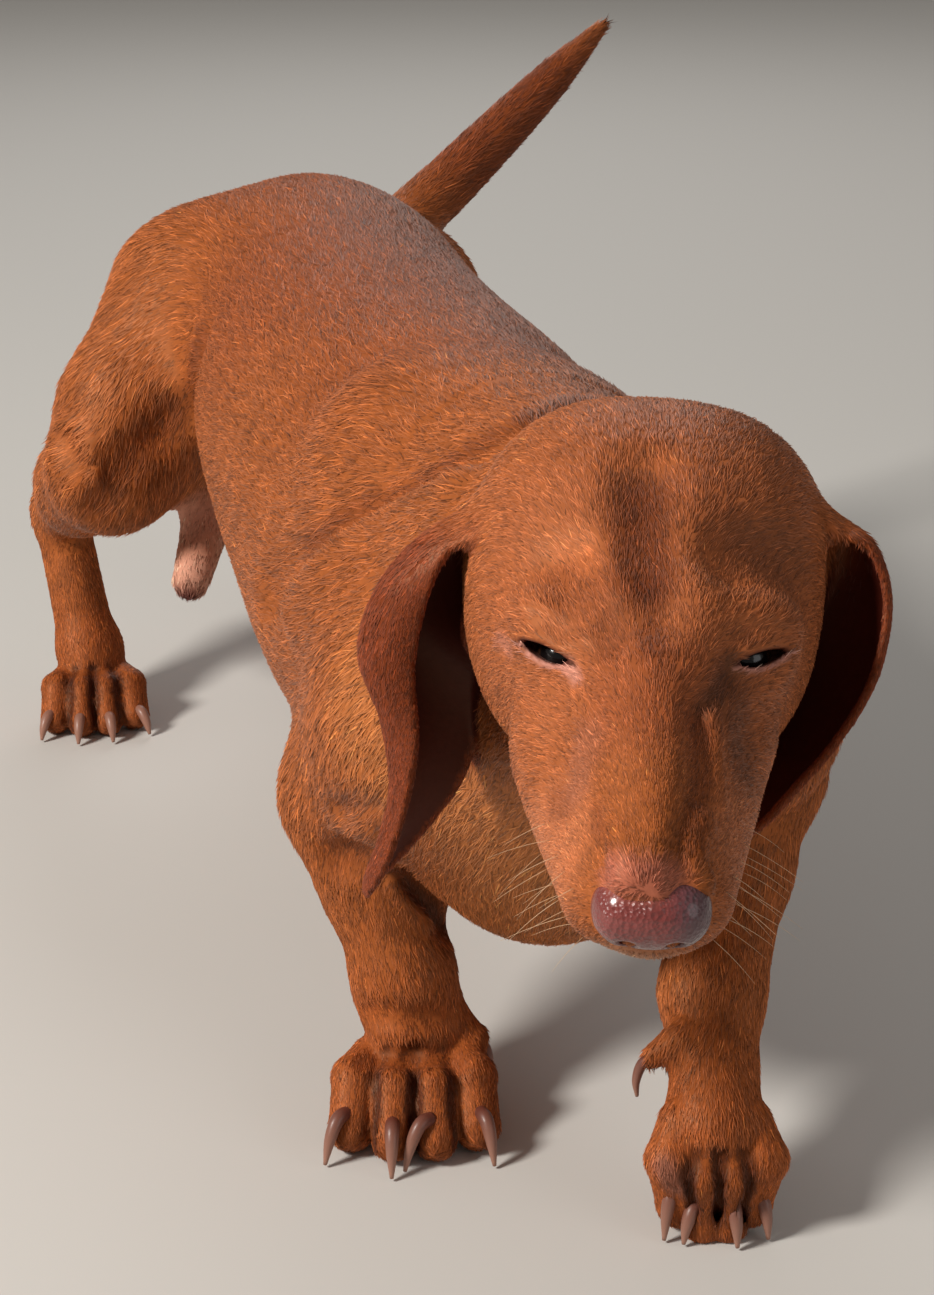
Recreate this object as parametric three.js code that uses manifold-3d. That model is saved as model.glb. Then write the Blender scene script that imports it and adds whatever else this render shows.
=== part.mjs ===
// A smooth-haired dachshund walking slowly, the left forepaw forward, the head low and the tail up.
// Millimetres. +Z is up, the nose points to -Y, the dog's right side is towards -X.
// The flesh is one smooth form, a blend of rounded masses, parted into named pieces with thin cuts.
import * as THREE from "three";
import { mergeVertices } from "three/addons/utils/BufferGeometryUtils.js";
import Module from "manifold-3d";

const wasm = await Module();
wasm.setup();

// Driving sizes, in millimetres and degrees.
const gap = 0.3; // between pieces that touch
const torsoCell = [16, 24, 16];
const neckCell = [13.6, 13.6, 13.6];
const headCell = [8.5, 8.5, 8.5];
const legCell = [14, 14, 14];
const pawCell = [7, 7, 7];
const tailCell = [8.5, 8.5, 8.5];
const noseCell = [3.6, 3.6, 3.6];
const eyeRadius = 9.6;
const earThick = 3.4;
const reach = 900; // a block that is larger than the dog

const colours = {
  coat: 0x9a4a1e,
  ear: 0x7d3917,
  nose: 0x7c4443,
  eye: 0x1d0f0b,
  claw: 0x9a6a58,
};

const v3 = (x, y, z) => new THREE.Vector3(x, y, z);
const rad = THREE.MathUtils.degToRad;
const mix = THREE.MathUtils.lerp;

// A frame of its own for the head or a paw. In it x is to the dog's left, y forward and z up.
// The heading turns it to the dog's right, and the pitch brings its front down.
function frameAt(place, heading, pitch) {
  const [h, p] = [rad(heading), rad(pitch)];
  const forward = v3(-Math.sin(h) * Math.cos(p), -Math.cos(h) * Math.cos(p), -Math.sin(p));
  const leftward = v3(Math.cos(h), -Math.sin(h), 0);
  const up = v3().crossVectors(forward, leftward);
  const matrix = new THREE.Matrix4().makeBasis(leftward, forward, up).setPosition(place);
  return { at: (x, y, z) => v3(x, y, z).applyMatrix4(matrix), axes: [leftward, forward, up] };
}

// Rounded masses. Each is a function of a point that gives about its distance from the surface.

// Notes the ball that holds a mass, so that points far outside it needn't be measured.
function within(mass, middle, radius) {
  mass.nearest = (x, y, z) => Math.hypot(x - middle.x, y - middle.y, z - middle.z) - radius;
  return mass;
}

function bone(a, b, startRadius, endRadius) {
  const [dx, dy, dz] = [b.x - a.x, b.y - a.y, b.z - a.z];
  const long = dx * dx + dy * dy + dz * dz;
  const mass = (x, y, z) => {
    const [px, py, pz] = [x - a.x, y - a.y, z - a.z];
    const t = Math.min(1, Math.max(0, (px * dx + py * dy + pz * dz) / long));
    return Math.hypot(px - t * dx, py - t * dy, pz - t * dz) - mix(startRadius, endRadius, t);
  };
  const middle = a.clone().lerp(b, 0.5);
  return within(mass, middle, Math.sqrt(long) / 2 + Math.max(startRadius, endRadius));
}

const world = [v3(1, 0, 0), v3(0, 1, 0), v3(0, 0, 1)];

function egg(centre, half, axes = world) {
  const [i, j, k] = axes;
  const mass = (x, y, z) => {
    const [px, py, pz] = [x - centre.x, y - centre.y, z - centre.z];
    const a = (px * i.x + py * i.y + pz * i.z) / half[0];
    const b = (px * j.x + py * j.y + pz * j.z) / half[1];
    const c = (px * k.x + py * k.y + pz * k.z) / half[2];
    const near = Math.hypot(a, b, c);
    const steep = Math.hypot(a / half[0], b / half[1], c / half[2]);
    return steep < 1e-9 ? -Math.min(...half) : (near * (near - 1)) / steep;
  };
  return within(mass, centre, Math.max(...half));
}

// Oval sections swept along a smooth path: each station is [x, y, z, half width, half height].
function hose(stations, upward = world[2], steps = 4 * (stations.length - 1)) {
  const curve = (pick) => new THREE.CatmullRomCurve3(stations.map(pick), false, "catmullrom", 0.5);
  const path = curve(([x, y, z]) => v3(x, y, z));
  const size = curve(([, , , w, h]) => v3(w, h, 0));
  const points = Array.from({ length: steps + 1 }, (_, i) => path.getPoint(i / steps));
  const halves = Array.from({ length: steps + 1 }, (_, i) => size.getPoint(i / steps));
  const along = points.slice(1).map((p, i) => p.clone().sub(points[i]));
  const mass = (x, y, z) => {
    let best = Infinity;
    let found = 0;
    let share = 0;
    for (let i = 0; i < steps; i++) {
      const [p, d] = [points[i], along[i]];
      const raw = ((x - p.x) * d.x + (y - p.y) * d.y + (z - p.z) * d.z) / d.lengthSq();
      const t = Math.min(1, Math.max(0, raw));
      const far = (x - p.x - t * d.x) ** 2 + (y - p.y - t * d.y) ** 2 + (z - p.z - t * d.z) ** 2;
      if (far < best) [best, found, share] = [far, i, t];
    }
    const d = along[found];
    const off = v3(x, y, z).sub(points[found]).addScaledVector(d, -share);
    const ahead = d.clone().normalize();
    const side = v3().crossVectors(ahead, upward).normalize();
    const up = v3().crossVectors(side, ahead);
    const w = mix(halves[found].x, halves[found + 1].x, share);
    const h = mix(halves[found].y, halves[found + 1].y, share);
    const e = Math.min(w, h);
    const [s, u, a] = [off.dot(side), off.dot(up), off.dot(ahead)];
    const near = Math.hypot(s / w, u / h, a / e);
    const steep = Math.hypot(s / w / w, u / h / h, a / e / e);
    return steep < 1e-9 ? -e : (near * (near - 1)) / steep;
  };
  const round = new THREE.Box3().setFromPoints(points).getBoundingSphere(new THREE.Sphere());
  return within(mass, round.center, round.radius + Math.max(...halves.map((s) => Math.max(s.x, s.y))));
}

// A form: masses added and hollows pressed in, one after another, each with its own softness.
class Form {
  steps = [];
  add(mass, soft = 1) {
    this.steps.push([mass, soft, 1]);
    return this;
  }
  press(hollow, soft = 1) {
    this.steps.push([hollow, soft, -1]);
    return this;
  }
  value(x, y, z) {
    let near = 1e3;
    for (const [mass] of this.steps) near = Math.min(near, mass.nearest(x, y, z));
    if (near > 40) return near;
    let v = 1e3;
    for (const [mass, soft, sign] of this.steps) {
      const clear = mass.nearest(x, y, z);
      if (clear > soft + (sign > 0 ? v : -v)) continue;
      const d = sign * mass(x, y, z);
      const h = Math.max(soft - Math.abs(v - d), 0) / soft;
      v = sign > 0 ? Math.min(v, d) - (h * h * soft) / 4 : Math.max(v, d) + (h * h * soft) / 4;
    }
    return v;
  }
}

// Wraps a form in one closed mesh of cells of about one size. Grown moves the surface outwards.
function skinOf(form, low, high, cell, grown = 0) {
  const count = low.map((l, i) => Math.ceil((high[i] - l) / cell[i]) + 1);
  const size = v3(...cell);
  const [nx, ny, nz] = count;
  const spot = (i, j, k) => i + nx * (j + ny * k);
  const values = new Float32Array(nx * ny * nz);
  for (let k = 0; k < nz; k++)
    for (let j = 0; j < ny; j++)
      for (let i = 0; i < nx; i++) {
        const rim = i * j * k === 0 || i === nx - 1 || j === ny - 1 || k === nz - 1;
        const at = [low[0] + i * cell[0], low[1] + j * cell[1], low[2] + k * cell[2]];
        const v = form.value(...at) - grown;
        values[spot(i, j, k)] = rim ? Math.max(v, cell[0] / 2) : v || 1e-6;
      }
  joinCorners(values, count);
  const corners = [...Array(8).keys()].map((c) => [c & 1, (c >> 1) & 1, c >> 2]);
  const places = [];
  const pointAt = new Int32Array(values.length).fill(-1);
  for (let k = 0; k < nz - 1; k++)
    for (let j = 0; j < ny - 1; j++)
      for (let i = 0; i < nx - 1; i++) {
        const held = corners.map(([a, b, c]) => values[spot(i + a, j + b, k + c)]);
        if (held.every((v) => v > 0) || held.every((v) => v <= 0)) continue;
        const sum = v3();
        let crossings = 0;
        for (let c = 0; c < 8; c++)
          for (const bit of [1, 2, 4]) {
            const e = c | bit;
            if (e === c || held[c] > 0 === held[e] > 0) continue;
            const t = held[c] / (held[c] - held[e]);
            sum.add(v3(...corners[c]).lerp(v3(...corners[e]), t));
            crossings++;
          }
        const p = sum.divideScalar(crossings).add(v3(i, j, k)).multiply(size).add(v3(...low));
        pointAt[spot(i, j, k)] = places.length;
        places.push(settled(form, p, Math.min(...cell), grown));
      }
  const faces = [];
  const quad = (a, b, c, d) => {
    const short = places[a].distanceToSquared(places[c]) <= places[b].distanceToSquared(places[d]);
    faces.push(...(short ? [a, b, c, a, c, d] : [a, b, d, b, c, d]));
  };
  for (let k = 0; k < nz - 1; k++)
    for (let j = 0; j < ny - 1; j++)
      for (let i = 0; i < nx - 1; i++)
        for (const [di, dj, dk, u, w] of [
          [1, 0, 0, [0, 1, 0], [0, 0, 1]],
          [0, 1, 0, [0, 0, 1], [1, 0, 0]],
          [0, 0, 1, [1, 0, 0], [0, 1, 0]],
        ]) {
          if (i + di === 0 || j + dj === 0 || k + dk === 0) continue;
          const here = values[spot(i, j, k)] <= 0;
          const next = values[spot(i + di, j + dj, k + dk)] <= 0;
          if (here === next) continue;
          const ring = [
            spot(i, j, k),
            spot(i - u[0], j - u[1], k - u[2]),
            spot(i - u[0] - w[0], j - u[1] - w[1], k - u[2] - w[2]),
            spot(i - w[0], j - w[1], k - w[2]),
          ].map((s) => pointAt[s]);
          if (here) quad(...ring);
          else quad(...ring.reverse());
        }
  const geometry = new THREE.BufferGeometry();
  const numbers = places.flatMap((p) => [p.x, p.y, p.z]);
  geometry.setAttribute("position", new THREE.Float32BufferAttribute(numbers, 3));
  geometry.setIndex(faces);
  return geometry;
}

// Where the form would meet itself at a corner of the grid only, the corner is filled.
function joinCorners(values, [nx, ny, nz]) {
  const steps = [1, nx, nx * ny];
  let mended = true;
  while (mended) {
    mended = false;
    for (let s = 0; s < values.length - nx * ny - nx; s++)
      for (const [u, w] of [[0, 1], [1, 2], [0, 2]]) {
        const ring = [s, s + steps[u], s + steps[u] + steps[w], s + steps[w]];
        const [a, b, c, d] = ring.map((r) => values[r] <= 0);
        if (a !== c || b !== d || a === b) continue;
        const outer = a ? [ring[1], ring[3]] : [ring[0], ring[2]];
        values[outer.sort((p, q) => values[p] - values[q])[0]] = -0.05;
        mended = true;
      }
  }
}

// Moves a point along the slope of the form until it lies on the surface.
function settled(form, start, cell, grown) {
  const p = start.clone();
  const d = cell / 20;
  for (let turn = 0; turn < 3; turn++) {
    const v = form.value(p.x, p.y, p.z) - grown;
    const slope = v3(
      form.value(p.x + d, p.y, p.z) - form.value(p.x - d, p.y, p.z),
      form.value(p.x, p.y + d, p.z) - form.value(p.x, p.y - d, p.z),
      form.value(p.x, p.y, p.z + d) - form.value(p.x, p.y, p.z - d),
    ).divideScalar(2 * d);
    if (slope.lengthSq() < 0.04) break;
    p.addScaledVector(slope, -v / slope.lengthSq());
  }
  return p.distanceTo(start) < cell * 0.7 ? p : start;
}

// Solids for cutting and joining.

function solid(geometry) {
  const bare = new THREE.BufferGeometry().setAttribute("position", geometry.getAttribute("position"));
  if (geometry.index) bare.setIndex(geometry.index);
  const merged = mergeVertices(bare, 1e-4);
  return new wasm.Manifold(
    new wasm.Mesh({
      numProp: 3,
      vertProperties: new Float32Array(merged.attributes.position.array),
      triVerts: new Uint32Array(merged.index.array),
    }),
  );
}

function largest(made) {
  return made.decompose().sort((a, b) => b.volume() - a.volume())[0];
}

function geometryOf(made) {
  const mesh = made.getMesh();
  const geometry = new THREE.BufferGeometry();
  geometry.setAttribute("position", new THREE.BufferAttribute(mesh.vertProperties, 3));
  geometry.setIndex(new THREE.BufferAttribute(mesh.triVerts, 1));
  return geometry;
}

// Everything on the far side of a plane, seen along its normal, as one large block.
function beyond(point, normal, shift = 0) {
  const block = new THREE.BoxGeometry(reach, reach, reach).translate(0, 0, reach / 2 + shift);
  const turn = new THREE.Quaternion().setFromUnitVectors(world[2], normal.clone().normalize());
  return solid(block.applyQuaternion(turn).translate(point.x, point.y, point.z));
}

// A block with its faces along the axes.
function block(low, high) {
  const size = high.map((h, i) => h - low[i]);
  const middle = high.map((h, i) => (h + low[i]) / 2);
  return solid(new THREE.BoxGeometry(...size).translate(...middle));
}

// A tube along a smooth path, closed at both ends. Each station is [point, radius].
function tube(stations, sides = 8, rings = 6, grown = 0) {
  const path = new THREE.CatmullRomCurve3(stations.map(([p]) => p), false, "catmullrom", 0.5);
  const radii = new THREE.CatmullRomCurve3(stations.map(([, r]) => v3(r, 0, 0)), false, "catmullrom", 0.5);
  const places = [];
  const faces = [];
  const upward = Math.abs(path.getTangent(0.5).z) > 0.9 ? world[1] : world[2];
  for (let i = 0; i <= rings; i++) {
    const ahead = path.getTangent(i / rings);
    const side = v3().crossVectors(ahead, upward).normalize();
    const up = v3().crossVectors(side, ahead);
    const end = i === 0 ? -grown : i === rings ? grown : 0;
    const middle = path.getPoint(i / rings).addScaledVector(ahead, end);
    const r = radii.getPoint(i / rings).x + grown;
    for (let k = 0; k < sides; k++) {
      const a = (2 * Math.PI * k) / sides;
      places.push(middle.clone().addScaledVector(side, r * Math.cos(a)).addScaledVector(up, r * Math.sin(a)));
    }
  }
  for (let i = 0; i < rings; i++)
    for (let k = 0; k < sides; k++) {
      const [a, b] = [i * sides + k, i * sides + ((k + 1) % sides)];
      faces.push(a, b + sides, b, a, a + sides, b + sides);
    }
  const last = rings * sides;
  for (let k = 1; k < sides - 1; k++) faces.push(0, k, k + 1, last, last + k + 1, last + k);
  return solid(shape(places, faces));
}

function shape(places, faces) {
  const geometry = new THREE.BufferGeometry();
  const flat = places.flatMap((p) => [p.x, p.y, p.z]);
  geometry.setAttribute("position", new THREE.Float32BufferAttribute(flat, 3));
  geometry.setIndex(faces);
  return geometry;
}

// A thin curled leaf for an ear. Each row is [x, y, z, width, curl, facing] in the head's frame: the middle
// of the leaf, how wide it is, how many degrees it curls round, and where its hollow side looks.
// Facing 0 looks forward and 90 to the dog's left.
function leaf(frame, rows, thick, grown, downs = 11, acrosses = 7) {
  const curve = (pick) => new THREE.CatmullRomCurve3(rows.map(pick), false, "catmullrom", 0.5);
  const spine = curve(([x, y, z]) => v3(x, y, z));
  const bend = curve(([, , , width, curl, facing]) => v3(width, curl, facing));
  const spots = [];
  for (let i = 0; i <= downs; i++) {
    const middle = spine.getPoint(i / downs);
    const { x: width, y: curl, z: facing } = bend.getPoint(i / downs);
    const open = v3(Math.sin(rad(facing)), Math.cos(rad(facing)), 0);
    const across = v3(open.y, -open.x, 0);
    const radius = width / rad(curl);
    const end = grown * ((i === downs) - (i === 0));
    const row = [];
    for (let k = 0; k <= acrosses; k++) {
      const a = (k / acrosses - 0.5) * rad(curl);
      const p = middle.clone();
      const edge = grown * ((k === acrosses) - (k === 0));
      p.addScaledVector(across, radius * Math.sin(a) + edge * Math.cos(a));
      p.addScaledVector(open, radius * (1 - Math.cos(a)) + edge * Math.sin(a));
      p.addScaledVector(spine.getTangent(i / downs), end);
      row.push(frame.at(p.x, p.y, p.z));
    }
    spots.push(row);
  }
  const wide = acrosses + 1;
  const sides = [[], []];
  spots.forEach((row, i) =>
    row.forEach((p, k) => {
      const down = v3().subVectors(spots[Math.min(i + 1, downs)][k], spots[Math.max(i - 1, 0)][k]);
      const over = v3().subVectors(row[Math.min(k + 1, acrosses)], row[Math.max(k - 1, 0)]);
      const out = v3().crossVectors(down, over).normalize();
      const thin = 1 - 0.3 * Math.abs((2 * k) / acrosses - 1) ** 3;
      const half = (thick * thin) / 2 + grown;
      sides[0].push(p.clone().addScaledVector(out, half));
      sides[1].push(p.clone().addScaledVector(out, -half));
    }),
  );
  const faces = [];
  const other = sides[0].length;
  for (let i = 0; i < downs; i++)
    for (let k = 0; k < acrosses; k++) {
      const [a, b, c, d] = [i * wide + k, i * wide + k + 1, (i + 1) * wide + k + 1, (i + 1) * wide + k];
      faces.push(a, d, c, a, c, b, other + a, other + c, other + d, other + a, other + b, other + c);
    }
  const rim = [];
  for (let k = 0; k < acrosses; k++) rim.push(k);
  for (let i = 0; i < downs; i++) rim.push(i * wide + acrosses);
  for (let k = acrosses; k > 0; k--) rim.push(downs * wide + k);
  for (let i = downs; i > 0; i--) rim.push(i * wide);
  rim.forEach((a, n) => {
    const b = rim[(n + 1) % rim.length];
    faces.push(a, b, other + b, a, other + b, other + a);
  });
  return solid(shape([...sides[0], ...sides[1]], faces));
}

// The room of one leg: a rounded slot seen from the side, open outwards, and a low box for the foot.
function legRoom(leg, grown) {
  const { side, room } = leg;
  const [ty, tz] = room.top;
  const [by, bz] = room.foot;
  const r = room.radius + grown;
  const lean = Math.atan2(tz - bz, ty - by);
  const outline = new THREE.Shape();
  outline.absarc(ty, tz, r, lean - Math.PI / 2, lean + Math.PI / 2, false);
  outline.absarc(by, bz, r, lean + Math.PI / 2, lean + Math.PI * 1.5, false);
  const long = new THREE.ExtrudeGeometry(outline, { depth: reach, bevelEnabled: false, curveSegments: 14 });
  const stand = new THREE.Matrix4().makeBasis(world[1], world[2], world[0]);
  const inner = room.inner - side * grown;
  const placed = long.applyMatrix4(stand).translate(side > 0 ? inner : inner - reach, 0, 0);
  const [front, back] = room.low;
  const edge = room.lowInner - side * grown;
  const low = block(
    [side > 0 ? edge : -reach, front - grown, -reach],
    [side > 0 ? reach : edge, back + grown, room.lowTop + grown],
  );
  return solid(placed).add(low);
}

// The skeleton: places of the joints, in the dog's own frame.
const right = -1;
const left = 1;

// Stations of the trunk from the rump to the forechest: x, y, z, half width, half height.
const trunk = [
  [30, 246, 192, 26, 32],
  [11, 214, 199, 52, 54],
  [6, 168, 200, 66, 61],
  [2, 108, 194, 69, 61],
  [-2, 45, 183, 76, 69],
  [-4, -30, 171, 80, 79],
  [-7, -100, 160, 80, 79],
  [-8, -160, 158, 71, 80],
  [-10, -202, 168, 56, 66],
];

const neck = [
  [-4, -120, 182, 60, 58],
  [-8, -180, 194, 57, 60],
  [-12, -225, 208, 53, 57],
  [-18, -262, 222, 48, 51],
  [-24, -290, 232, 43, 43],
];

const headPlace = v3(-26.7, -312, 238.6);
const head = frameAt(headPlace, 21.6, 9.2);

const tail = [
  [34, 224, 201, 20, 20],
  [56, 246, 210, 16.5, 16.5],
  [88, 262, 229, 14.5, 14.5],
  [124, 276, 254, 12.8, 12.8],
  [160, 290, 280, 9.8, 9.8],
  [190, 302, 302, 4.2, 4.2],
];

// Stations of the sheath under the belly, from its root to its tip: place and radius.
const sheath = [
  [v3(-31, 190, 150), 23],
  [v3(-40, 175, 134), 17],
  [v3(-49, 159, 120), 13.6],
  [v3(-58, 144, 107), 12.4],
  [v3(-66, 131, 95), 10.6],
  [v3(-70.5, 123.5, 88.5), 6],
];

// Legs: their joints, the paw, its claws, and the room that parts the leg from the torso.
// claws holds how far ahead of the toe a claw's four stations lie. For each toe in turn,
// tops holds how high its claw starts, and turns how many degrees it points aside.
const legs = {
  foreleg_right: {
    side: right,
    blade: v3(-34, -104, 222),
    shoulder: v3(-51, -188, 150),
    elbow: v3(-64, -142, 106),
    wrist: v3(-57, -168, 48),
    paw: { place: v3(-56, -177, 0), heading: 17, pitch: 0, spread: 1, size: 1, converge: 1 },
    claws: [2, 7.5, 12, 15],
    tops: [15, 15, 16, 15],
    turns: [-12, 4, -50, -2],
    dewclaw: { from: [9, -5, 32], to: [20, -1, 27], radii: [11, 6] },
    room: {
      top: [-146, 166],
      foot: [-170, 40],
      radius: 66,
      inner: -37,
      low: [-240, -90],
      lowInner: -18,
      lowTop: 66,
    },
  },
  foreleg_left: {
    side: left,
    blade: v3(22, -104, 205),
    shoulder: v3(52, -200, 148),
    elbow: v3(69, -172, 112),
    wrist: v3(31, -235, 62),
    paw: { place: v3(22, -256, 26.2), heading: 17, pitch: 52, spread: 0.78, size: 0.96, converge: 0.72 },
    claws: [2, 6, 9, 10.5],
    tops: [16, 12, 13, 14],
    turns: [0, -34, 6, 0],
    dewclaw: { from: [-10, -24.2, 17], to: [-18, -20, 13.8], radii: [7, 4.8] },
    room: {
      top: [-158, 162],
      foot: [-196, 46],
      radius: 66,
      inner: 30,
      low: [-340, -120],
      lowInner: -17,
      lowTop: 66,
    },
  },
  hindleg_right: {
    side: right,
    hip: v3(-44, 188, 205),
    stifle: v3(-98, 146, 142),
    hock: v3(-106, 250, 92),
    paw: { place: v3(-100, 213, 0), heading: 10, pitch: 0, spread: 0.95, size: 0.9, converge: 1 },
    claws: [2, 7, 11, 13.5],
    tops: [9, 9, 9, 9],
    turns: [-8, -3, 3, 8],
    room: {
      top: [184, 178],
      foot: [222, 30],
      radius: 82,
      inner: -36,
      low: [150, 320],
      lowInner: -34,
      lowTop: 84,
    },
  },
  hindleg_left: {
    side: left,
    hip: v3(52, 210, 190),
    stifle: v3(66, 186, 126),
    hock: v3(48, 304, 92),
    paw: { place: v3(42, 274, 0), heading: 4, pitch: 0, spread: 0.9, size: 0.9, converge: 1 },
    claws: [2, 7, 11, 13.5],
    tops: [9, 9, 9, 9],
    turns: [-8, -3, 3, 8],
    room: {
      top: [200, 186],
      foot: [262, 30],
      radius: 68,
      inner: 40,
      low: [150, 360],
      lowInner: -20,
      lowTop: 112,
    },
  },
};

// Ears: rows from the root in the skull down to the tip.
const ears = {
  ear_right: [
    [-38, -16, 16, 34, 150, 20],
    [-54, -20, 10, 46, 200, 30],
    [-70, -18, -4, 56, 245, 44],
    [-78, -16, -24, 64, 250, 52],
    [-73, -14, -44, 62, 170, 62],
    [-70, -10, -64, 57, 95, 68],
    [-73, -5, -81, 51, 74, 68],
    [-77, -2, -92, 37, 60, 68],
    [-80, 0, -99, 14, 50, 68],
  ],
  ear_left: [
    [37, -16, 16, 34, 120, -10],
    [47, -18, 12, 42, 140, -16],
    [53, -14, -1, 48, 150, -24],
    [52, -6, -18, 52, 150, -34],
    [46, 3, -33, 48, 130, -48],
    [38, 13, -44, 38, 110, -58],
    [31, 23, -52, 24, 90, -62],
    [25, 30, -57, 8, 60, -62],
  ],
};

// Eyes look outwards and a little up. Angles are from straight ahead.
const eyeSpot = { x: 22.4, y: 39, z: 1.5, outward: 25, upward: 32 };
const slit = { half: 7.4, high: 2, droop: { [right]: -7, [left]: -1 } };

// The trunk, from the croup to the forechest.
function addTrunk(form) {
  form.add(hose(trunk), 1);
  form.add(egg(v3(-12, -196, 128), [46, 42, 56]), 34);
  form.add(bone(v3(-4, -60, 222), v3(-8, -150, 222), 17, 17), 30);
}

function addNeck(form) {
  form.add(hose(neck), 40);
  form.add(bone(v3(-14, -205, 160), head.at(0, 0, -38), 42, 24), 30);
}

// Shoulder blade, upper arm and forearm.
function addForeleg(form, leg) {
  const { blade, shoulder, elbow, wrist } = leg;
  const half = elbow.clone().lerp(wrist, 0.45);
  form.add(bone(blade, shoulder, 21, 29), 30);
  form.add(bone(shoulder, elbow, 31, 26), 26);
  form.add(bone(elbow, half, 25, 20.5), 16);
  form.add(bone(half, wrist, 20.5, 18), 10);
}

// Thigh, buttock, calf, heel and the long bones of the hind foot.
function addHindleg(form, leg) {
  const { side, hip, stifle, hock, paw } = leg;
  const seat = v3(hip.x + side * 2, hip.y + 30, hip.z - 12);
  const calf = hock.clone().lerp(stifle, 0.45);
  const ham = stifle.clone().lerp(hock, 0.5).add(v3(0, 6, 10));
  form.add(bone(hip, stifle.clone().lerp(hip, 0.3), 43, 35), 26);
  form.add(bone(stifle.clone().lerp(hip, 0.3), stifle, 35, 25), 16);
  form.add(bone(seat, ham, 32, 17), 26);
  form.add(bone(stifle, calf, 26, 19), 14);
  form.add(bone(calf, hock.clone().add(v3(0, -6, -2)), 18, 13), 12);
  form.add(bone(ham, hock.clone().add(v3(0, 5, 5)), 12, 8.5), 12);
  form.add(bone(hock, paw.place.clone().add(v3(0, 6, 26)), 13.5, 14), 8);
}

const toeShares = [-1.5, -0.5, 0.5, 1.5];
const pawFrame = ({ place, heading, pitch }) => frameAt(place, heading, pitch);

// The joints of a toe: the root, the knuckle and the tip.
function toeJoints(paw, share) {
  const { size, spread } = paw;
  const f = pawFrame(paw);
  const ahead = Math.abs(share) > 1 ? 0 : 6;
  return [
    f.at(share * 9.5 * size * spread, 2 * size, 21 * size),
    f.at(share * 13.2 * size * spread, (15 + ahead) * size, 20.5 * size),
    f.at(share * 14.5 * size * spread * paw.converge, (27 + ahead) * size, 9 * size),
  ];
}

function addPaw(form, leg) {
  const { paw, wrist } = leg;
  const { size, spread } = paw;
  const f = pawFrame(paw);
  const top = wrist ?? paw.place.clone().add(v3(0, 6, 30));
  form.add(bone(top, f.at(0, 4 * size, 20 * size), 17 * size, 15.5 * size), 8);
  form.add(egg(f.at(0, 4 * size, 15 * size), [21 * size * spread, 17 * size, 13 * size], f.axes), 6);
  form.add(egg(f.at(0, 0, 7 * size), [16 * size * spread, 14 * size, 8.5 * size], f.axes), 4);
  for (const share of toeShares) {
    const [root, knuckle, tip] = toeJoints(paw, share);
    form.add(bone(root, knuckle, 8.2 * size, 8.8 * size), 2);
    form.add(bone(knuckle, tip, 8.8 * size, 8 * size), 1.5);
    form.add(egg(tip.clone().add(v3(0, 0, -1.6 * size)), [7.8 * size, 8.8 * size, 7.6 * size], f.axes), 1.5);
  }
  if (leg.dewclaw) {
    const { from, to, radii } = leg.dewclaw;
    form.add(bone(f.at(...from), f.at(...to), ...radii), 0.7 * radii[0]);
  }
}

// The skull, cheeks, muzzle and jaw, in the head's frame.
function addHead(form) {
  const part = (x, y, z, half) => egg(head.at(x, y, z), half, head.axes);
  form.add(part(-1, 0, 0, [43, 54, 37]), 30);
  form.add(part(-1, -34, -2, [37, 30, 34]), 24);
  for (const side of [right, left]) {
    form.add(part(side * 20, -18, 12, [24, 34, 24]), 16);
    form.add(part(side * 24 - 3, 6, -14, [17.5, 34, 26]), 18);
    form.add(part(side * 22, 34, 6, [15, 18, 12]), 12);
  }
  form.add(bone(head.at(0, 40, -8), head.at(0, 114, -22), 26, 14.5), 20);
  form.add(bone(head.at(0, 40, 4), head.at(0, 116, -10), 20, 10.5), 14);
  for (const side of [right, left]) {
    form.add(bone(head.at(side * 17 - 3, 52, -22), head.at(side * 11 - 1, 108, -25), 17, 10.5), 10);
    form.add(part(side * eyeSpot.x, eyeSpot.y, eyeSpot.z, [11.2, 11.2, 11.2]), 7);
    form.add(part(side * 24, 36, 11.5, [13, 10.5, 7.5]), 7);
    form.add(part(side * 20 - 2, 52, -13, [12, 14, 9]), 8);
  }
  form.add(part(0, 117, -11.5, [12, 10, 7.6]), 4);
  form.add(bone(head.at(-2, 20, -40), head.at(-1.5, 80, -37), 22, 13), 10);
  form.add(bone(head.at(-1.5, 80, -37), head.at(-1, 106, -33), 13, 7.5), 8);
}

// The way an eye looks, in the dog's frame.
function eyeLook(side) {
  const [out, up] = [rad(eyeSpot.outward), rad(eyeSpot.upward)];
  const [x, y, z] = [side * Math.sin(out) * Math.cos(up), Math.cos(out) * Math.cos(up), Math.sin(up)];
  return head.at(x, y, z).sub(headPlace);
}

// The opening between the lids: an almond pushed outwards from the middle of the eye.
function eyeSlit(side) {
  const outline = new THREE.Shape();
  outline.moveTo(-slit.half, 0);
  outline.quadraticCurveTo(0, 2 * slit.high, slit.half, 0);
  outline.quadraticCurveTo(0, -2 * slit.high, -slit.half, 0);
  const made = new THREE.ExtrudeGeometry(outline, { depth: 30, bevelEnabled: false, curveSegments: 6 });
  const look = eyeLook(side);
  const across = v3().crossVectors(head.axes[2], look).normalize();
  const up = v3().crossVectors(look, across);
  made.rotateZ(rad(-side * slit.droop[side]));
  made.applyMatrix4(new THREE.Matrix4().makeBasis(across, up, look));
  const middle = head.at(side * eyeSpot.x, eyeSpot.y, eyeSpot.z);
  return solid(made.translate(middle.x, middle.y, middle.z));
}

// Where a ray from a point inside the dog meets its surface.
function onSkin(from, along) {
  const way = along.clone().normalize();
  const p = from.clone();
  for (let i = 0; i < 60; i++) p.addScaledVector(way, -0.7 * dog.value(p.x, p.y, p.z));
  return p;
}

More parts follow.
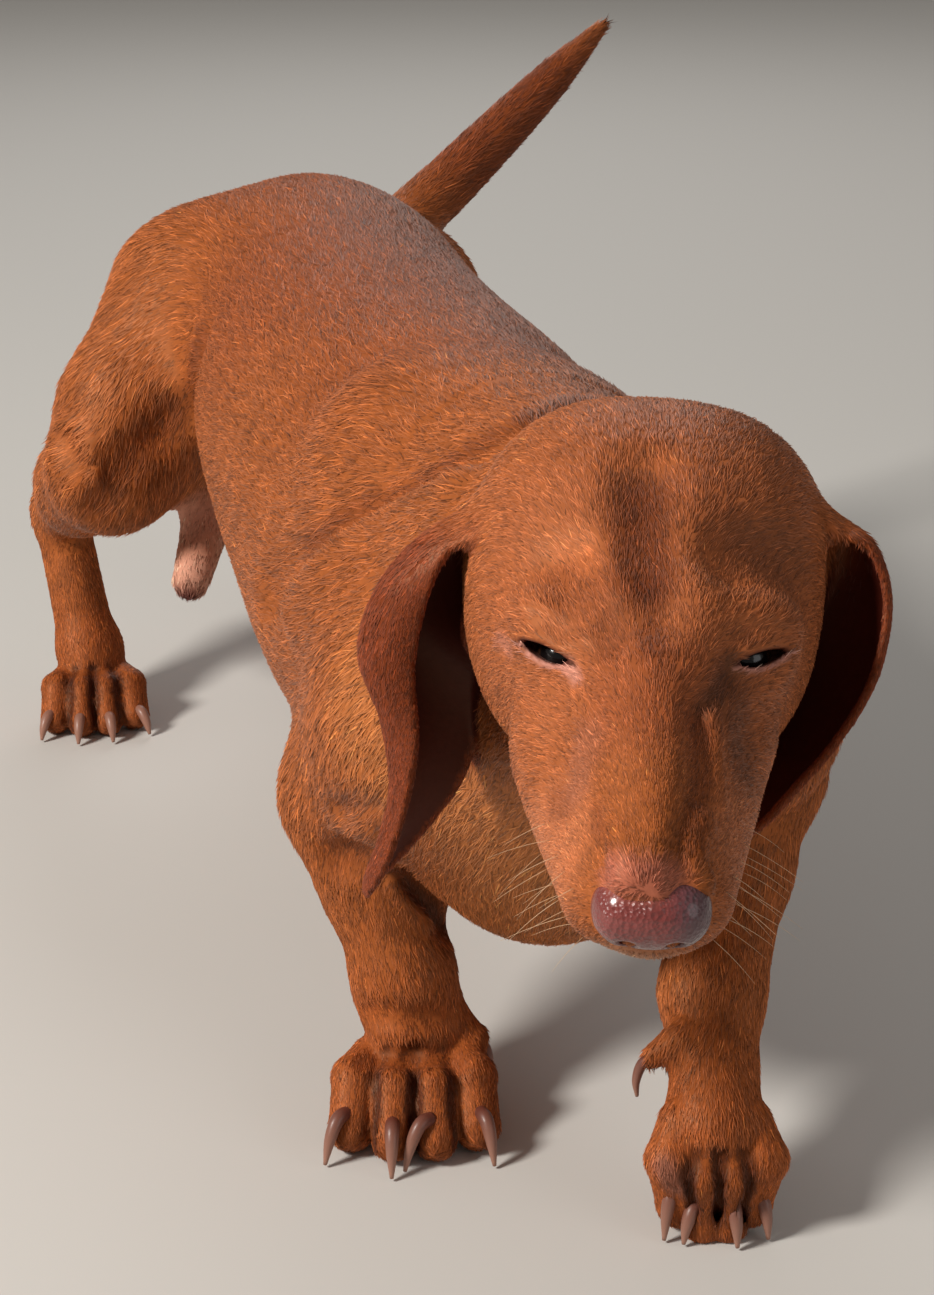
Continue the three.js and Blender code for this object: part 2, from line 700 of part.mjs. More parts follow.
function noseForm() {
  const form = new Form();
  const part = (x, y, z, half) => egg(head.at(x, y, z), half, head.axes);
  form.add(part(0, 122.5, -18, [11, 9, 9.5]), 1);
  for (const side of [right, left]) form.add(part(side * 7.6, 121, -18.5, [6.8, 9, 8.2]), 4);
  return form;
}

// Each nostril is a comma-shaped hole.
function nostril(side) {
  return tube(
    [
      [head.at(side * 5, 125, -19.5), 2.1],
      [head.at(side * 6.4, 133, -23.5), 2.2],
    ],
    7,
    1,
  ).add(
    tube(
      [
        [head.at(side * 6.2, 129, -23), 1.8],
        [head.at(side * 10, 128.5, -24), 1.2],
        [head.at(side * 14.5, 125, -22.5), 0.8],
      ],
      6,
      4,
    ),
  );
}

// The line of the mouth: a groove from one corner round below the nose to the other.
const lipLine = [
  [52, -38, 1],
  [66, -38, 1],
  [82, -36.5, 1],
  [98, -35, 1],
  [110, -34.5, 0.8],
];

function mouthGroove() {
  const half = (side) =>
    lipLine.map(([y, z, out]) => [
      onSkin(
        head.at(0, y, z),
        v3().addScaledVector(head.axes[0], side * out).addScaledVector(head.axes[1], 1 - out),
      ),
      1.1,
    ]);
  const front = [[onSkin(head.at(0, 100, -33.5), head.axes[1]), 1.1]];
  return tube([...half(right), ...front, ...half(left).reverse()], 4, 26);
}

const dog = new Form();
addTrunk(dog);
addNeck(dog);
addHead(dog);
dog.add(hose(tail), 20);
for (const leg of Object.values(legs)) (leg.blade ? addForeleg : addHindleg)(dog, leg);
for (const leg of Object.values(legs)) addPaw(dog, leg);

const floor = beyond(v3(0, 0, 0), v3(0, 0, -1));

// The planes that part the flesh, each a point and a direction.
const parting = {
  head: [head.at(0, -24, -12), v3().addScaledVector(head.axes[1], 0.81).addScaledVector(head.axes[2], 0.586)],
  neck: [v3(-10, -192, 180), v3(-0.1, -0.9, 0.36)],
  tail: [v3(66, 250, 215), v3(0.76, 0.45, 0.47)],
};
const half = gap / 2;
const ahead = (name) => beyond(...parting[name], half);
const behind = (name) => beyond(parting[name][0], parting[name][1].clone().negate(), half);

function flesh(low, high, cell) {
  return solid(skinOf(dog, low, high, cell)).subtract(floor);
}

const nodes = {};

// The tail's room starts at its plane, and is a little wider than the tail.
const tailRoom = (grown) =>
  tube(tail.map(([x, y, z, r]) => [v3(x, y, z), r + 7]), 12, 8, grown)
    .intersect(beyond(...parting.tail, -grown));
const sheathEnds = [[v3(-25, 201, 161), 20], ...sheath, [v3(-76, 115, 81), 8]];
const sheathRoom = (grown) => tube(sheathEnds.map(([p, r]) => [p, r + 6]), 12, 9, grown);
const roomOf = (name, grown) => {
  const made = legRoom(legs[name], grown);
  if (name === "hindleg_right") return made.subtract(sheathRoom(-grown));
  return name === "hindleg_left" ? made.subtract(tailRoom(-grown)) : made;
};

const earLeaf = (name, grown = 0) => leaf(head, ears[name], earThick, grown);
const earRoom = ["ear_right", "ear_left"]
  .map((name) => earLeaf(name, gap).add(earLeaf(name)))
  .reduce((a, b) => a.add(b));

const legNames = Object.keys(legs);
const allLegs = legNames.map((name) => roomOf(name, half)).reduce((a, b) => a.add(b));

nodes.torso = [
  flesh([-110, -235, 60], [110, 290, 275], torsoCell)
    .intersect(behind("neck"))
    .subtract(tailRoom(half))
    .add(tube(sheath, 12, 8))
    .subtract(allLegs),
  colours.coat,
];
nodes.neck = [
  flesh([-100, -330, 90], [80, -150, 300], neckCell)
    .intersect(ahead("neck"))
    .intersect(behind("head"))
    .subtract(earRoom)
    .subtract(allLegs),
  colours.coat,
];
nodes.tail = [flesh([20, 200, 170], [210, 325, 320], tailCell).intersect(tailRoom(-half)), colours.coat];

// The head, with its eyes, lids, ears, mouth and nose.
const noseSkin = (grown) => solid(skinOf(noseForm(), [-110, -460, 170], [-30, -380, 250], noseCell, grown));
let skull = flesh([-100, -450, 160], [60, -250, 300], headCell)
  .intersect(ahead("head"))
  .subtract(noseSkin(gap))
  .subtract(mouthGroove())
  .subtract(earRoom);
nodes.nose = [noseSkin(0).subtract(nostril(right)).subtract(nostril(left)), colours.nose];
for (const [name, side] of [["right", right], ["left", left]]) {
  const middle = head.at(side * eyeSpot.x, eyeSpot.y, eyeSpot.z);
  const ball = (r) => solid(new THREE.IcosahedronGeometry(r, 2).translate(middle.x, middle.y, middle.z));
  skull = skull.subtract(ball(eyeRadius + gap)).subtract(eyeSlit(side));
  nodes[`eye_${name}`] = [ball(eyeRadius), colours.eye];
  nodes[`ear_${name}`] = [earLeaf(`ear_${name}`), colours.ear];
}
nodes.head = [skull, colours.coat];

for (const name of legNames) {
  const leg = legs[name];
  const { paw } = leg;
  const f = pawFrame(paw);
  const own = roomOf(name, -half);
  const joint = leg.wrist ?? paw.place.clone().add(v3(0, 6, 32));
  const down = f.at(0, 6, 12).sub(joint).normalize();
  const cut = joint.clone().addScaledVector(down, leg.blade ? -2 : 6);
  const box = new THREE.Box3().setFromPoints(
    leg.blade ? [leg.blade, leg.shoulder, leg.elbow, leg.wrist] : [leg.hip, leg.stifle, leg.hock, joint],
  );
  box.expandByScalar(64);
  nodes[name] = [
    flesh(box.min.toArray(), box.max.toArray(), legCell)
      .intersect(own)
      .intersect(beyond(cut, down.clone().negate(), half)),
    colours.coat,
  ];
  const foot = new THREE.Box3().setFromPoints([joint, ...toeShares.flatMap((s) => toeJoints(paw, s))]);
  foot.expandByScalar(24);
  let sole = flesh(foot.min.toArray(), foot.max.toArray(), pawCell)
    .intersect(own)
    .intersect(beyond(cut, down, half));
  const label = name.replace("leg", "");
  toeShares.forEach((share, n) => {
    const [sunk, bend, low, end] = leg.claws;
    const [root, knuckle, tip] = toeJoints(paw, share);
    const on = knuckle.clone().sub(root).setZ(0).normalize().applyAxisAngle(world[2], rad(leg.turns[n]));
    const high = Math.max(tip.z + 2.5, leg.tops[n]);
    const spot = (along, z) => tip.clone().setZ(Math.max(1.2, z)).addScaledVector(on, along);
    const stations = [
      [spot(sunk, high), 2.6],
      [spot(bend, high), 2.5],
      [spot(low, high * 0.62), 2],
      [spot(end, 0), 0.8],
    ];
    sole = sole.subtract(tube(stations, 6, 3, gap));
    nodes[`claw_${label}_${n + 1}`] = [tube(stations, 6, 3), colours.claw];
  });
  if (leg.dewclaw) {
    const [from, to] = [f.at(...leg.dewclaw.from), f.at(...leg.dewclaw.to)];
    const on = to.clone().sub(from).normalize();
    const spot = (along, drop) => to.clone().addScaledVector(on, along).add(v3(0, 0, -drop));
    const stations = [
      [spot(0.5, 0), 2.2],
      [spot(4, 1), 2.1],
      [spot(5.5, 6), 1.5],
      [spot(5, 12), 0.7],
    ];
    sole = sole.subtract(tube(stations, 6, 3, gap));
    nodes[`dewclaw_${label.replace("fore_", "")}`] = [tube(stations, 6, 3), colours.claw];
  }
  nodes[`paw_${label}`] = [sole, colours.coat];
}

// One group for the whole dog, with a group for each region.
const dachshund = new THREE.Group();
const regions = {
  body: /^(torso|neck|tail)$/,
  head: /^(head|nose|eye_|ear_)/,
  forequarters: /foreleg|fore_|dewclaw/,
  hindquarters: /hindleg|hind_/,
};
for (const pattern of Object.values(regions)) {
  const region = new THREE.Group();
  for (const [node, [made, colour]] of Object.entries(nodes)) {
    if (!pattern.test(node)) continue;
    const shine = colour === colours.eye || colour === colours.nose ? 0.25 : 0.7;
    const material = new THREE.MeshStandardMaterial({ color: colour, roughness: shine, metalness: 0 });
    const mesh = new THREE.Mesh(geometryOf(largest(made)), material);
    mesh.name = node;
    region.add(mesh);
  }
  dachshund.add(region);
}

// The origin is under the middle of the dog, on the floor.
const middle = new THREE.Box3().setFromObject(dachshund, true).getCenter(v3());
dachshund.position.set(-middle.x, -middle.y, 0);

export default dachshund;
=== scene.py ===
import math
import time

import bpy
import numpy as np
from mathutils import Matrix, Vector


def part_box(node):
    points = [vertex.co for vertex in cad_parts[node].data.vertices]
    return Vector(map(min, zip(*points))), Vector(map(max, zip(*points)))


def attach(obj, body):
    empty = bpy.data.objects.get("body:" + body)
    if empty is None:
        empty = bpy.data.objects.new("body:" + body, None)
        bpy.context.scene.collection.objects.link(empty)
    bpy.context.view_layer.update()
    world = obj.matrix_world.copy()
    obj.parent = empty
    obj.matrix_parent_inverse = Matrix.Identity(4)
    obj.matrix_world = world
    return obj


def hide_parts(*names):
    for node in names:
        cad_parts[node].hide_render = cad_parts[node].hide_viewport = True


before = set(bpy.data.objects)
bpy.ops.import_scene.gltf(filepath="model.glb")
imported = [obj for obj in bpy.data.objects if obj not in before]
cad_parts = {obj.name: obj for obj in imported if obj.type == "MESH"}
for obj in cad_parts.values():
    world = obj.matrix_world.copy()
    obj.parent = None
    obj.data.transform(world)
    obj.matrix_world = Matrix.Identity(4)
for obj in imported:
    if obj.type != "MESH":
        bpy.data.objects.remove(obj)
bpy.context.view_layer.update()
right, left = -1, 1
farOff = 60.0  # beyond this distance a form isn't measured
skinCell = 1.2  # the finest cells of the skin, and the others are two or four times as wide


def vec(*v):
    return np.array(v, float)


def unit(v):
    return v / np.maximum(np.linalg.norm(v, axis=-1, keepdims=True), 1e-9)


def mix(a, b, t):
    return a + (b - a) * t


def ramp(low, high, x):
    t = np.clip((x - low) / (high - low), 0, 1)
    return t * t * (3 - 2 * t)


# x is to the dog's left, y forward and z up; heading turns right and pitch brings the front down.
class Place:
    def __init__(self, place, heading, pitch):
        h, p = math.radians(heading), math.radians(pitch)
        forward = vec(-math.sin(h) * math.cos(p), -math.cos(h) * math.cos(p), -math.sin(p))
        leftward = vec(math.cos(h), -math.sin(h), 0)
        self.axes = np.array([leftward, forward, np.cross(forward, leftward)])
        self.place = vec(*place)

    def at(self, x, y, z):
        return self.place + vec(x, y, z) @ self.axes

    def inside(self, points):
        return (points - self.place) @ self.axes.T


# A smooth curve through all its stations.
def curveAt(stations, t):
    p = np.array(stations, float)
    p = np.vstack([2 * p[0] - p[1], p, 2 * p[-1] - p[-2]])
    t = np.atleast_1d(t) * (len(stations) - 1)
    i = np.minimum(t.astype(int), len(stations) - 2)
    f = (t - i)[:, None]
    a, b, c, d = p[i], p[i + 1], p[i + 2], p[i + 3]
    u, v = (c - a) / 2, (d - b) / 2
    return b + u * f + (3 * (c - b) - 2 * u - v) * f**2 + (2 * (b - c) + u + v) * f**3


# Rounded masses: each gives about how far points are from its surface, and which way the coat lies on it.


class Mass:
    def __init__(self, far, middle, reach, lie):
        self.far, self.middle, self.reach, self.lie = far, middle, reach, lie


def bone(a, b, startRadius, endRadius, lie=1):
    along = b - a
    long = along @ along

    def far(p):
        t = np.clip((p - a) @ along / long, 0, 1)
        return np.linalg.norm(p - a - t[:, None] * along, axis=1) - mix(startRadius, endRadius, t)

    hair = lie * unit(along) if np.isscalar(lie) else unit(lie)
    return Mass(far, (a + b) / 2, math.sqrt(long) / 2 + max(startRadius, endRadius), hair)


def egg(centre, half, axes=np.eye(3), lie=(0, 1, 0)):
    half = vec(*half)

    def far(p):
        q = (p - centre) @ axes.T / half
        away = np.linalg.norm(q, axis=1)
        return away * (away - 1) / np.maximum(np.linalg.norm(q / half, axis=1), 1e-9)

    return Mass(far, centre, half.max(), unit(vec(*lie)))


def hose(stations, lie=1, fine=4):
    steps = fine * (len(stations) - 1)
    rows = curveAt(stations, np.arange(steps + 1) / steps)
    points, halves = rows[:, :3], rows[:, 3:5]
    along = np.diff(points, axis=0)
    ahead = unit(along)
    side = unit(np.cross(ahead, vec(0, 0, 1)))
    up = np.cross(side, ahead)

    length = (along**2).sum(1)
    starts = (points[:-1] * along).sum(1)
    sizes = (points[:-1] ** 2).sum(1)

    def far(p):
        run = p @ along.T - starts
        t = np.clip(run / length, 0, 1)
        found = (sizes - 2 * p @ points[:-1].T - 2 * t * run + t * t * length).argmin(1)
        share = t[np.arange(len(p)), found]
        off = p - points[found] - share[:, None] * along[found]
        size = mix(halves[found], halves[found + 1], share[:, None])
        end = size.min(1)
        q = np.stack([(off * side[found]).sum(1), (off * up[found]).sum(1), (off * ahead[found]).sum(1)], 1)
        half = np.column_stack([size, end])
        away = np.linalg.norm(q / half, axis=1)
        return away * (away - 1) / np.maximum(np.linalg.norm(q / half / half, axis=1), 1e-9)

    low, high = points.min(0), points.max(0)
    reach = np.linalg.norm(high - low) / 2 + halves.max()
    return Mass(far, (low + high) / 2, reach, lie * unit(points[-1] - points[0]))


# A thread through points, for folds, grooves and the line of the mouth.
def thread(points, radius):
    points = np.array(points, float)
    along = np.diff(points, axis=0)
    length = (along**2).sum(1)

    def far(p):
        run = np.stack([((p - points[i]) @ along[i]) / length[i] for i in range(len(along))], 1)
        t = np.clip(run, 0, 1)
        off = [np.linalg.norm(p - points[i] - t[:, i : i + 1] * along[i], axis=1) for i in range(len(along))]
        return np.min(off, axis=0) - radius

    low, high = points.min(0), points.max(0)
    return Mass(far, (low + high) / 2, np.linalg.norm(high - low) / 2 + radius, backward)


# Masses added and hollows pressed in, one after another, each with its own softness.
class Form:
    def __init__(self):
        self.steps = []

    def add(self, mass, soft=1.0):
        self.steps.append((mass, soft, 1))

    def press(self, hollow, soft=1.0):
        self.steps.append((hollow, soft, -1))

    def value(self, points, visit=None):
        values = np.full(len(points), farOff)
        for group in near(points):
            p = points[group]
            low, high = p.min(0), p.max(0)
            middle, radius = (low + high) / 2, np.linalg.norm(high - low) / 2
            v = np.full(len(p), farOff)
            for mass, soft, sign in self.steps:
                clear = np.linalg.norm(mass.middle - middle) - mass.reach - radius
                if clear > (soft if np.isscalar(soft) else 8) + (v.max() if sign > 0 else -v.min()):
                    continue
                d = sign * mass.far(p)
                if visit and sign > 0:
                    visit(mass, group, d)
                k = soft if np.isscalar(soft) else soft(p)
                h = np.maximum(k - np.abs(v - d), 0) / k
                v = np.minimum(v, d) - h * h * k / 4 if sign > 0 else np.maximum(v, d) + h * h * k / 4
            values[group] = v
        return values


# Groups of points that lie close together.
def near(points, size=56.0):
    cell = np.floor(points / size).astype(np.int64)
    key = (cell[:, 0] + 512) + 1024 * ((cell[:, 1] + 512) + 1024 * (cell[:, 2] + 512))
    order = np.argsort(key, kind="stable")
    cuts = np.flatnonzero(np.diff(key[order])) + 1
    return np.split(order, cuts) if len(points) else []


def slopeOf(value, points, step=0.3):
    here = value(points)
    slope = np.stack([value(points + step * axis) - here for axis in np.eye(3)], 1) / step
    return here, slope


# Moves points along the slope of a form onto its surface.
def settled(value, points, most, turns=2):
    p = points.copy()
    for turn in range(turns):
        here, slope = slopeOf(value, p)
        steep = np.maximum((slope**2).sum(1), 0.2)
        p -= slope * (here / steep)[:, None]
    away = np.linalg.norm(p - points, axis=1)
    return np.where((away < most)[:, None], p, points)


def packed(c):
    return (c[:, 0] << 42) | (c[:, 1] << 21) | c[:, 2]


def unpacked(k):
    return np.stack([k >> 42, (k >> 21) & 0x1FFFFF, k & 0x1FFFFF], 1)


# One closed mesh round a form, of cells one, two or four units wide as levelAt says (0, 1 or 2).
def wrapped(value, low, high, cell, levelAt):
    corners = np.array([[a, b, c] for a in (0, 1) for b in (0, 1) for c in (0, 1)])
    low = vec(*low)
    wide = 16
    count = np.ceil((vec(*high) - low) / (cell * wide)).astype(int)

    # A cell four units wide decides the level of all that it holds.
    def levelOf(c):
        return levelAt(low + ((c * wide // 4) + 0.5) * 4 * cell)

    cells = np.stack(np.meshgrid(*[np.arange(n) for n in count], indexing="ij"), -1).reshape(-1, 3)
    spots, cellsOf, flips = [], [], []
    while wide:
        size = cell * wide
        middles = low + (cells + 0.5) * size
        cells = cells[np.abs(value(middles)) < size * 1.1]
        if wide <= 4:
            level = {4: 2, 2: 1, 1: 0}[wide]
            own = levelOf(cells) == level
            keys = np.unique(packed((cells[own][:, None, :] + corners[None]).reshape(-1, 3)))
            values = value(low + unpacked(keys) * size)
            steps = [1 << 42, 1 << 21, 1]
            for axis in range(3):
                u, w = steps[(axis + 1) % 3], steps[(axis + 2) % 3]
                other = np.searchsorted(keys, keys + steps[axis])
                other[other == len(keys)] = 0
                cross = (keys[other] == keys + steps[axis]) & ((values <= 0) != (values[other] <= 0))
                a, b, k = values[cross], values[other[cross]], keys[cross]
                around = np.stack([k, k - u, k - u - w, k - w], 1)
                levels = levelOf(unpacked(around.ravel())).reshape(-1, 4)
                keep = levels.min(1) == level
                a, b, k, around, levels = a[keep], b[keep], k[keep], around[keep], levels[keep]
                spot = low + unpacked(k) * size
                spot[:, axis] += size * a / (a - b)
                owner = (unpacked(around.ravel()) * wide) >> levels.reshape(-1, 1)
                spots.append(spot)
                cellsOf.append((packed(owner) | (levels.ravel().astype(np.int64) << 61)).reshape(-1, 4))
                flips.append(a > 0)
            cells = cells[levelOf(cells) < level]
        wide //= 2
        cells = (cells[:, None, :] * 2 + corners[None]).reshape(-1, 3)
    spots, cellsOf, flips = np.vstack(spots), np.vstack(cellsOf), np.concatenate(flips)
    owners, ids = np.unique(cellsOf.ravel(), return_inverse=True)
    n = len(owners)
    amount = np.bincount(ids, minlength=n)[:, None]
    many = np.repeat(spots, 4, axis=0)
    places = np.stack([np.bincount(ids, many[:, i], minlength=n) for i in range(3)], 1) / amount
    places = settled(value, places, cell * 0.8 * 2.0 ** (owners >> 61))
    quads = ids.reshape(-1, 4)
    quads[flips] = quads[flips][:, ::-1]
    faces = np.vstack([quads[:, [0, 1, 2]], quads[:, [0, 2, 3]]])
    a, b, c = faces.T
    faces = faces[(a != b) & (b != c) & (a != c)]
    used, faces = np.unique(faces, return_inverse=True)
    return places[used], faces.reshape(-1, 3)


# The skeleton: the same named places as in the part's source.
# A station of the trunk, neck or tail has x, y and z, half the width and half the height.
trunk = [
    [30, 246, 192, 26, 32],
    [11, 214, 199, 52, 54],
    [6, 168, 200, 66, 61],
    [2, 108, 194, 69, 61],
    [-2, 45, 183, 76, 69],
    [-4, -30, 171, 80, 79],
    [-7, -100, 160, 80, 79],
    [-8, -160, 158, 71, 80],
    [-10, -202, 168, 56, 66],
]
neck = [
    [-4, -120, 182, 60, 58],
    [-8, -180, 194, 57, 60],
    [-12, -225, 208, 53, 57],
    [-18, -262, 222, 48, 51],
    [-24, -290, 232, 43, 43],
]
tail = [
    [34, 224, 201, 20, 20],
    [56, 246, 210, 16.5, 16.5],
    [88, 262, 229, 14.5, 14.5],
    [124, 276, 254, 12.8, 12.8],
    [160, 290, 280, 9.8, 9.8],
    [190, 302, 302, 4.2, 4.2],
]
head = Place((-26.7, -312, 238.6), 21.6, 9.2)
sheathRoot, sheathTip = vec(-38, 178, 138), vec(-67, 129, 93)
eyeSpot = {"x": 22.4, "y": 39, "z": 1.5, "outward": 25, "upward": 32, "radius": 9.6}
slit = {"half": 6.9, "high": 1.15, "droop": {right: -7, left: -1}}


def paw(place, heading, pitch=0, spread=1.0, size=1.0, converge=1.0):
    return {
        "frame": Place(place, heading, pitch),
        "place": vec(*place),
        "spread": spread,
        "size": size,
        "converge": converge,
    }


# How far ahead of the toe a claw's four stations lie, and for each toe its claw's height and degrees aside.
hindClaws = {"claws": [2, 7, 11, 13.5], "tops": [9, 9, 9, 9], "turns": [-8, -3, 3, 8]}
legs = {
    "foreleg_right": {
        "side": right,
        "blade": vec(-34, -104, 222),
        "shoulder": vec(-51, -188, 150),
        "elbow": vec(-64, -142, 106),
        "wrist": vec(-57, -168, 48),
        "paw": paw((-56, -177, 0), 17),
        "claws": [2, 7.5, 12, 15],
        "tops": [15, 15, 16, 15],
        "turns": [-12, 4, -50, -2],
        "dewclaw": [(9, -5, 32), (20, -1, 27), 11, 6],
    },
    "foreleg_left": {
        "side": left,
        "blade": vec(22, -104, 205),
        "shoulder": vec(52, -200, 148),
        "elbow": vec(69, -172, 112),
        "wrist": vec(31, -235, 62),
        "paw": paw((22, -256, 26.2), 17, 52, 0.78, 0.96, 0.72),
        "claws": [2, 6, 9, 10.5],
        "tops": [16, 12, 13, 14],
        "turns": [0, -34, 6, 0],
        "dewclaw": [(-10, -24.2, 17), (-18, -20, 13.8), 7, 4.8],
    },
    "hindleg_right": {
        "side": right,
        "hip": vec(-44, 188, 205),
        "stifle": vec(-98, 146, 142),
        "hock": vec(-106, 250, 92),
        "paw": paw((-100, 213, 0), 10, 0, 0.95, 0.9),
        **hindClaws,
    },
    "hindleg_left": {
        "side": left,
        "hip": vec(52, 210, 190),
        "stifle": vec(66, 186, 126),
        "hock": vec(48, 304, 92),
        "paw": paw((42, 274, 0), 4, 0, 0.9, 0.9),
        **hindClaws,
    },
}

# Rows of each ear: x, y, z, width, curl, facing, from the root down to the tip, in the head's frame.
ears = {
    right: [
        [-38, -16, 16, 34, 150, 20],
        [-54, -20, 10, 46, 200, 30],
        [-70, -18, -4, 56, 245, 44],
        [-78, -16, -24, 64, 250, 52],
        [-73, -14, -44, 62, 170, 62],
        [-70, -10, -64, 57, 95, 68],
        [-73, -5, -81, 51, 74, 68],
        [-77, -2, -92, 37, 60, 68],
        [-80, 0, -99, 14, 50, 68],
    ],
    left: [
        [37, -16, 16, 34, 120, -10],
        [47, -18, 12, 42, 140, -16],
        [53, -14, -1, 48, 150, -24],
        [52, -6, -18, 52, 150, -34],
        [46, 3, -33, 48, 130, -48],
        [38, 13, -44, 38, 110, -58],
        [31, 23, -52, 24, 90, -62],
        [25, 30, -57, 8, 60, -62],
    ],
}
earThick = 3.4

backward = vec(0, 1, 0)
downward = vec(0, 0, -1)


def addTrunk(form):
    form.add(hose(trunk, -1, 8))
    form.add(egg(vec(-12, -196, 128), [46, 42, 56], lie=(0, 0.3, -1)), 34)  # breast
    form.add(bone(vec(-4, -60, 222), vec(-8, -150, 222), 17, 17, -1), 30)  # withers
    form.add(bone(sheathRoot, sheathTip, 15, 9.5), 22)  # sheath


def addNeck(form):
    form.add(hose(neck, -1), 40)
    form.add(bone(vec(-14, -205, 160), head.at(0, 0, -38), 42, 24, -1), 30)  # throat


def addForeleg(form, leg):
    blade, shoulder, elbow, wrist = leg["blade"], leg["shoulder"], leg["elbow"], leg["wrist"]
    half = mix(elbow, wrist, 0.45)
    form.add(bone(blade, shoulder, 21, 29, vec(0, 0.5, -1)), 30)  # shoulder
    form.add(bone(shoulder, elbow, 31, 26), 26)  # upper arm
    form.add(bone(elbow, half, 25, 20.5), 16)  # forearm
    form.add(bone(half, wrist, 20.5, 18), 10)


def addHindleg(form, leg):
    hip, stifle, hock = leg["hip"], leg["stifle"], leg["hock"]
    seat = hip + vec(leg["side"] * 2, 30, -12)
    calf = mix(hock, stifle, 0.45)
    ham = mix(stifle, hock, 0.5) + vec(0, 6, 10)
    bend = mix(stifle, hip, 0.3)
    form.add(bone(hip, bend, 43, 35, vec(0, 0.6, -1)), 26)  # thigh
    form.add(bone(bend, stifle, 35, 25), 16)
    form.add(bone(seat, ham, 32, 17, downward), 26)  # back of the thigh
    form.add(bone(stifle, calf, 26, 19), 14)  # calf
    form.add(bone(calf, hock + vec(0, -6, -2), 18, 13), 12)
    form.add(bone(ham, hock + vec(0, 5, 5), 12, 8.5), 12)  # tendon
    form.add(bone(hock, leg["paw"]["place"] + vec(0, 6, 26), 13.5, 14), 8)  # hind pastern


toeShares = [-1.5, -0.5, 0.5, 1.5]


# The root, the knuckle and the tip of a toe.
def toeJoints(p, share):
    size, spread, at = p["size"], p["spread"], p["frame"].at
    ahead = 0 if abs(share) > 1 else 6
    return (
        at(share * 9.5 * size * spread, 2 * size, 21 * size),
        at(share * 13.2 * size * spread, (15 + ahead) * size, 20.5 * size),
        at(share * 14.5 * size * spread * p["converge"], (27 + ahead) * size, 9 * size),
    )


# The groove between two toes, from the back of the paw down to the tips.
def toeGroove(p, share):
    size, spread, at = p["size"], p["spread"], p["frame"].at
    spots = [
        at(share * 11 * size * spread, 14 * size, 31 * size),
        at(share * 13.2 * size * spread, 21 * size, 28 * size),
        at(share * 14.2 * size * spread * p["converge"], 31 * size, 19 * size),
        at(share * 14.5 * size * spread * p["converge"], 36 * size, 8 * size),
    ]
    return thread(spots, 1.5 * size)


def addPaw(form, leg):
    p = leg["paw"]
    size, spread, at, axes = p["size"], p["spread"], p["frame"].at, p["frame"].axes
    top = leg.get("wrist", p["place"] + vec(0, 6, 30))
    forward = axes[1]
    form.add(bone(top, at(0, 4 * size, 20 * size), 17 * size, 15.5 * size), 8)
    form.add(egg(at(0, 4 * size, 15 * size), [21 * size * spread, 17 * size, 13 * size], axes, forward), 6)
    form.add(egg(at(0, 0, 7 * size), [16 * size * spread, 14 * size, 8.5 * size], axes, forward), 4)
    for share in toeShares:
        root, knuckle, tip = toeJoints(p, share)
        form.add(bone(root, knuckle, 8.2 * size, 8.8 * size), 2)
        form.add(bone(knuckle, tip, 8.8 * size, 8 * size), 1.5)
        form.add(egg(tip + vec(0, 0, -1.6 * size), [7.8 * size, 8.8 * size, 7.6 * size], axes, forward), 1.5)
    for share in (-1, 0, 1):
        form.press(toeGroove(p, share), 1.5)
    if "dewclaw" in leg:
        start, end, thick, slim = leg["dewclaw"]
        form.add(bone(at(*start), at(*end), thick, slim), 0.7 * thick)


def headPart(x, y, z, half, lie=(0, -1, 0)):
    return egg(head.at(x, y, z), half, head.axes, vec(*lie) @ head.axes)


def headBone(a, b, startRadius, endRadius, lie=(0, -1, 0)):
    return bone(head.at(*a), head.at(*b), startRadius, endRadius, vec(*lie) @ head.axes)


def addHead(form):
    form.add(headPart(-1, 0, 0, [43, 54, 37]), 30)  # skull
    form.add(headPart(-1, -34, -2, [37, 30, 34], (0, -1, -0.3)), 24)  # nape
    for side in (right, left):
        form.add(headPart(side * 20, -18, 12, [24, 34, 24], (side * 0.3, -1, -0.3)), 16)  # crown
        form.add(headPart(side * 24 - 3, 6, -14, [17.5, 34, 26], (0, -1, -0.7)), 18)  # cheek
        form.add(headPart(side * 22, 34, 6, [15, 18, 12], (side * 0.3, -1, 0.1)), 12)  # socket
    form.add(headBone((0, 40, -8), (0, 114, -22), 26, 14.5), 20)  # muzzle
    form.add(headBone((0, 40, 4), (0, 116, -10), 20, 10.5), 14)  # bridge
    for side in (right, left):
        lip = headBone((side * 17 - 3, 52, -22), (side * 11 - 1, 108, -25), 17, 10.5, (0, -1, -0.5))
        form.add(lip, 10)
        form.add(headPart(side * eyeSpot["x"], eyeSpot["y"], eyeSpot["z"], [11.2] * 3), 7)  # lids
        form.add(headPart(side * 24, 36, 11.5, [13, 10.5, 7.5], (side * 0.5, -1, 0.2)), 7)  # brow
        form.add(headPart(side * 20 - 2, 52, -13, [12, 14, 9], (side * 0.2, -1, -0.3)), 8)  # cheekbone
    form.add(headPart(0, 117, -11.5, [12, 10, 7.6]), 4)  # over the nose
    form.add(headBone((-2, 20, -40), (-1.5, 80, -37), 22, 13), 10)  # lower jaw
    form.add(headBone((-1.5, 80, -37), (-1, 106, -33), 13, 7.5), 8)  # chin


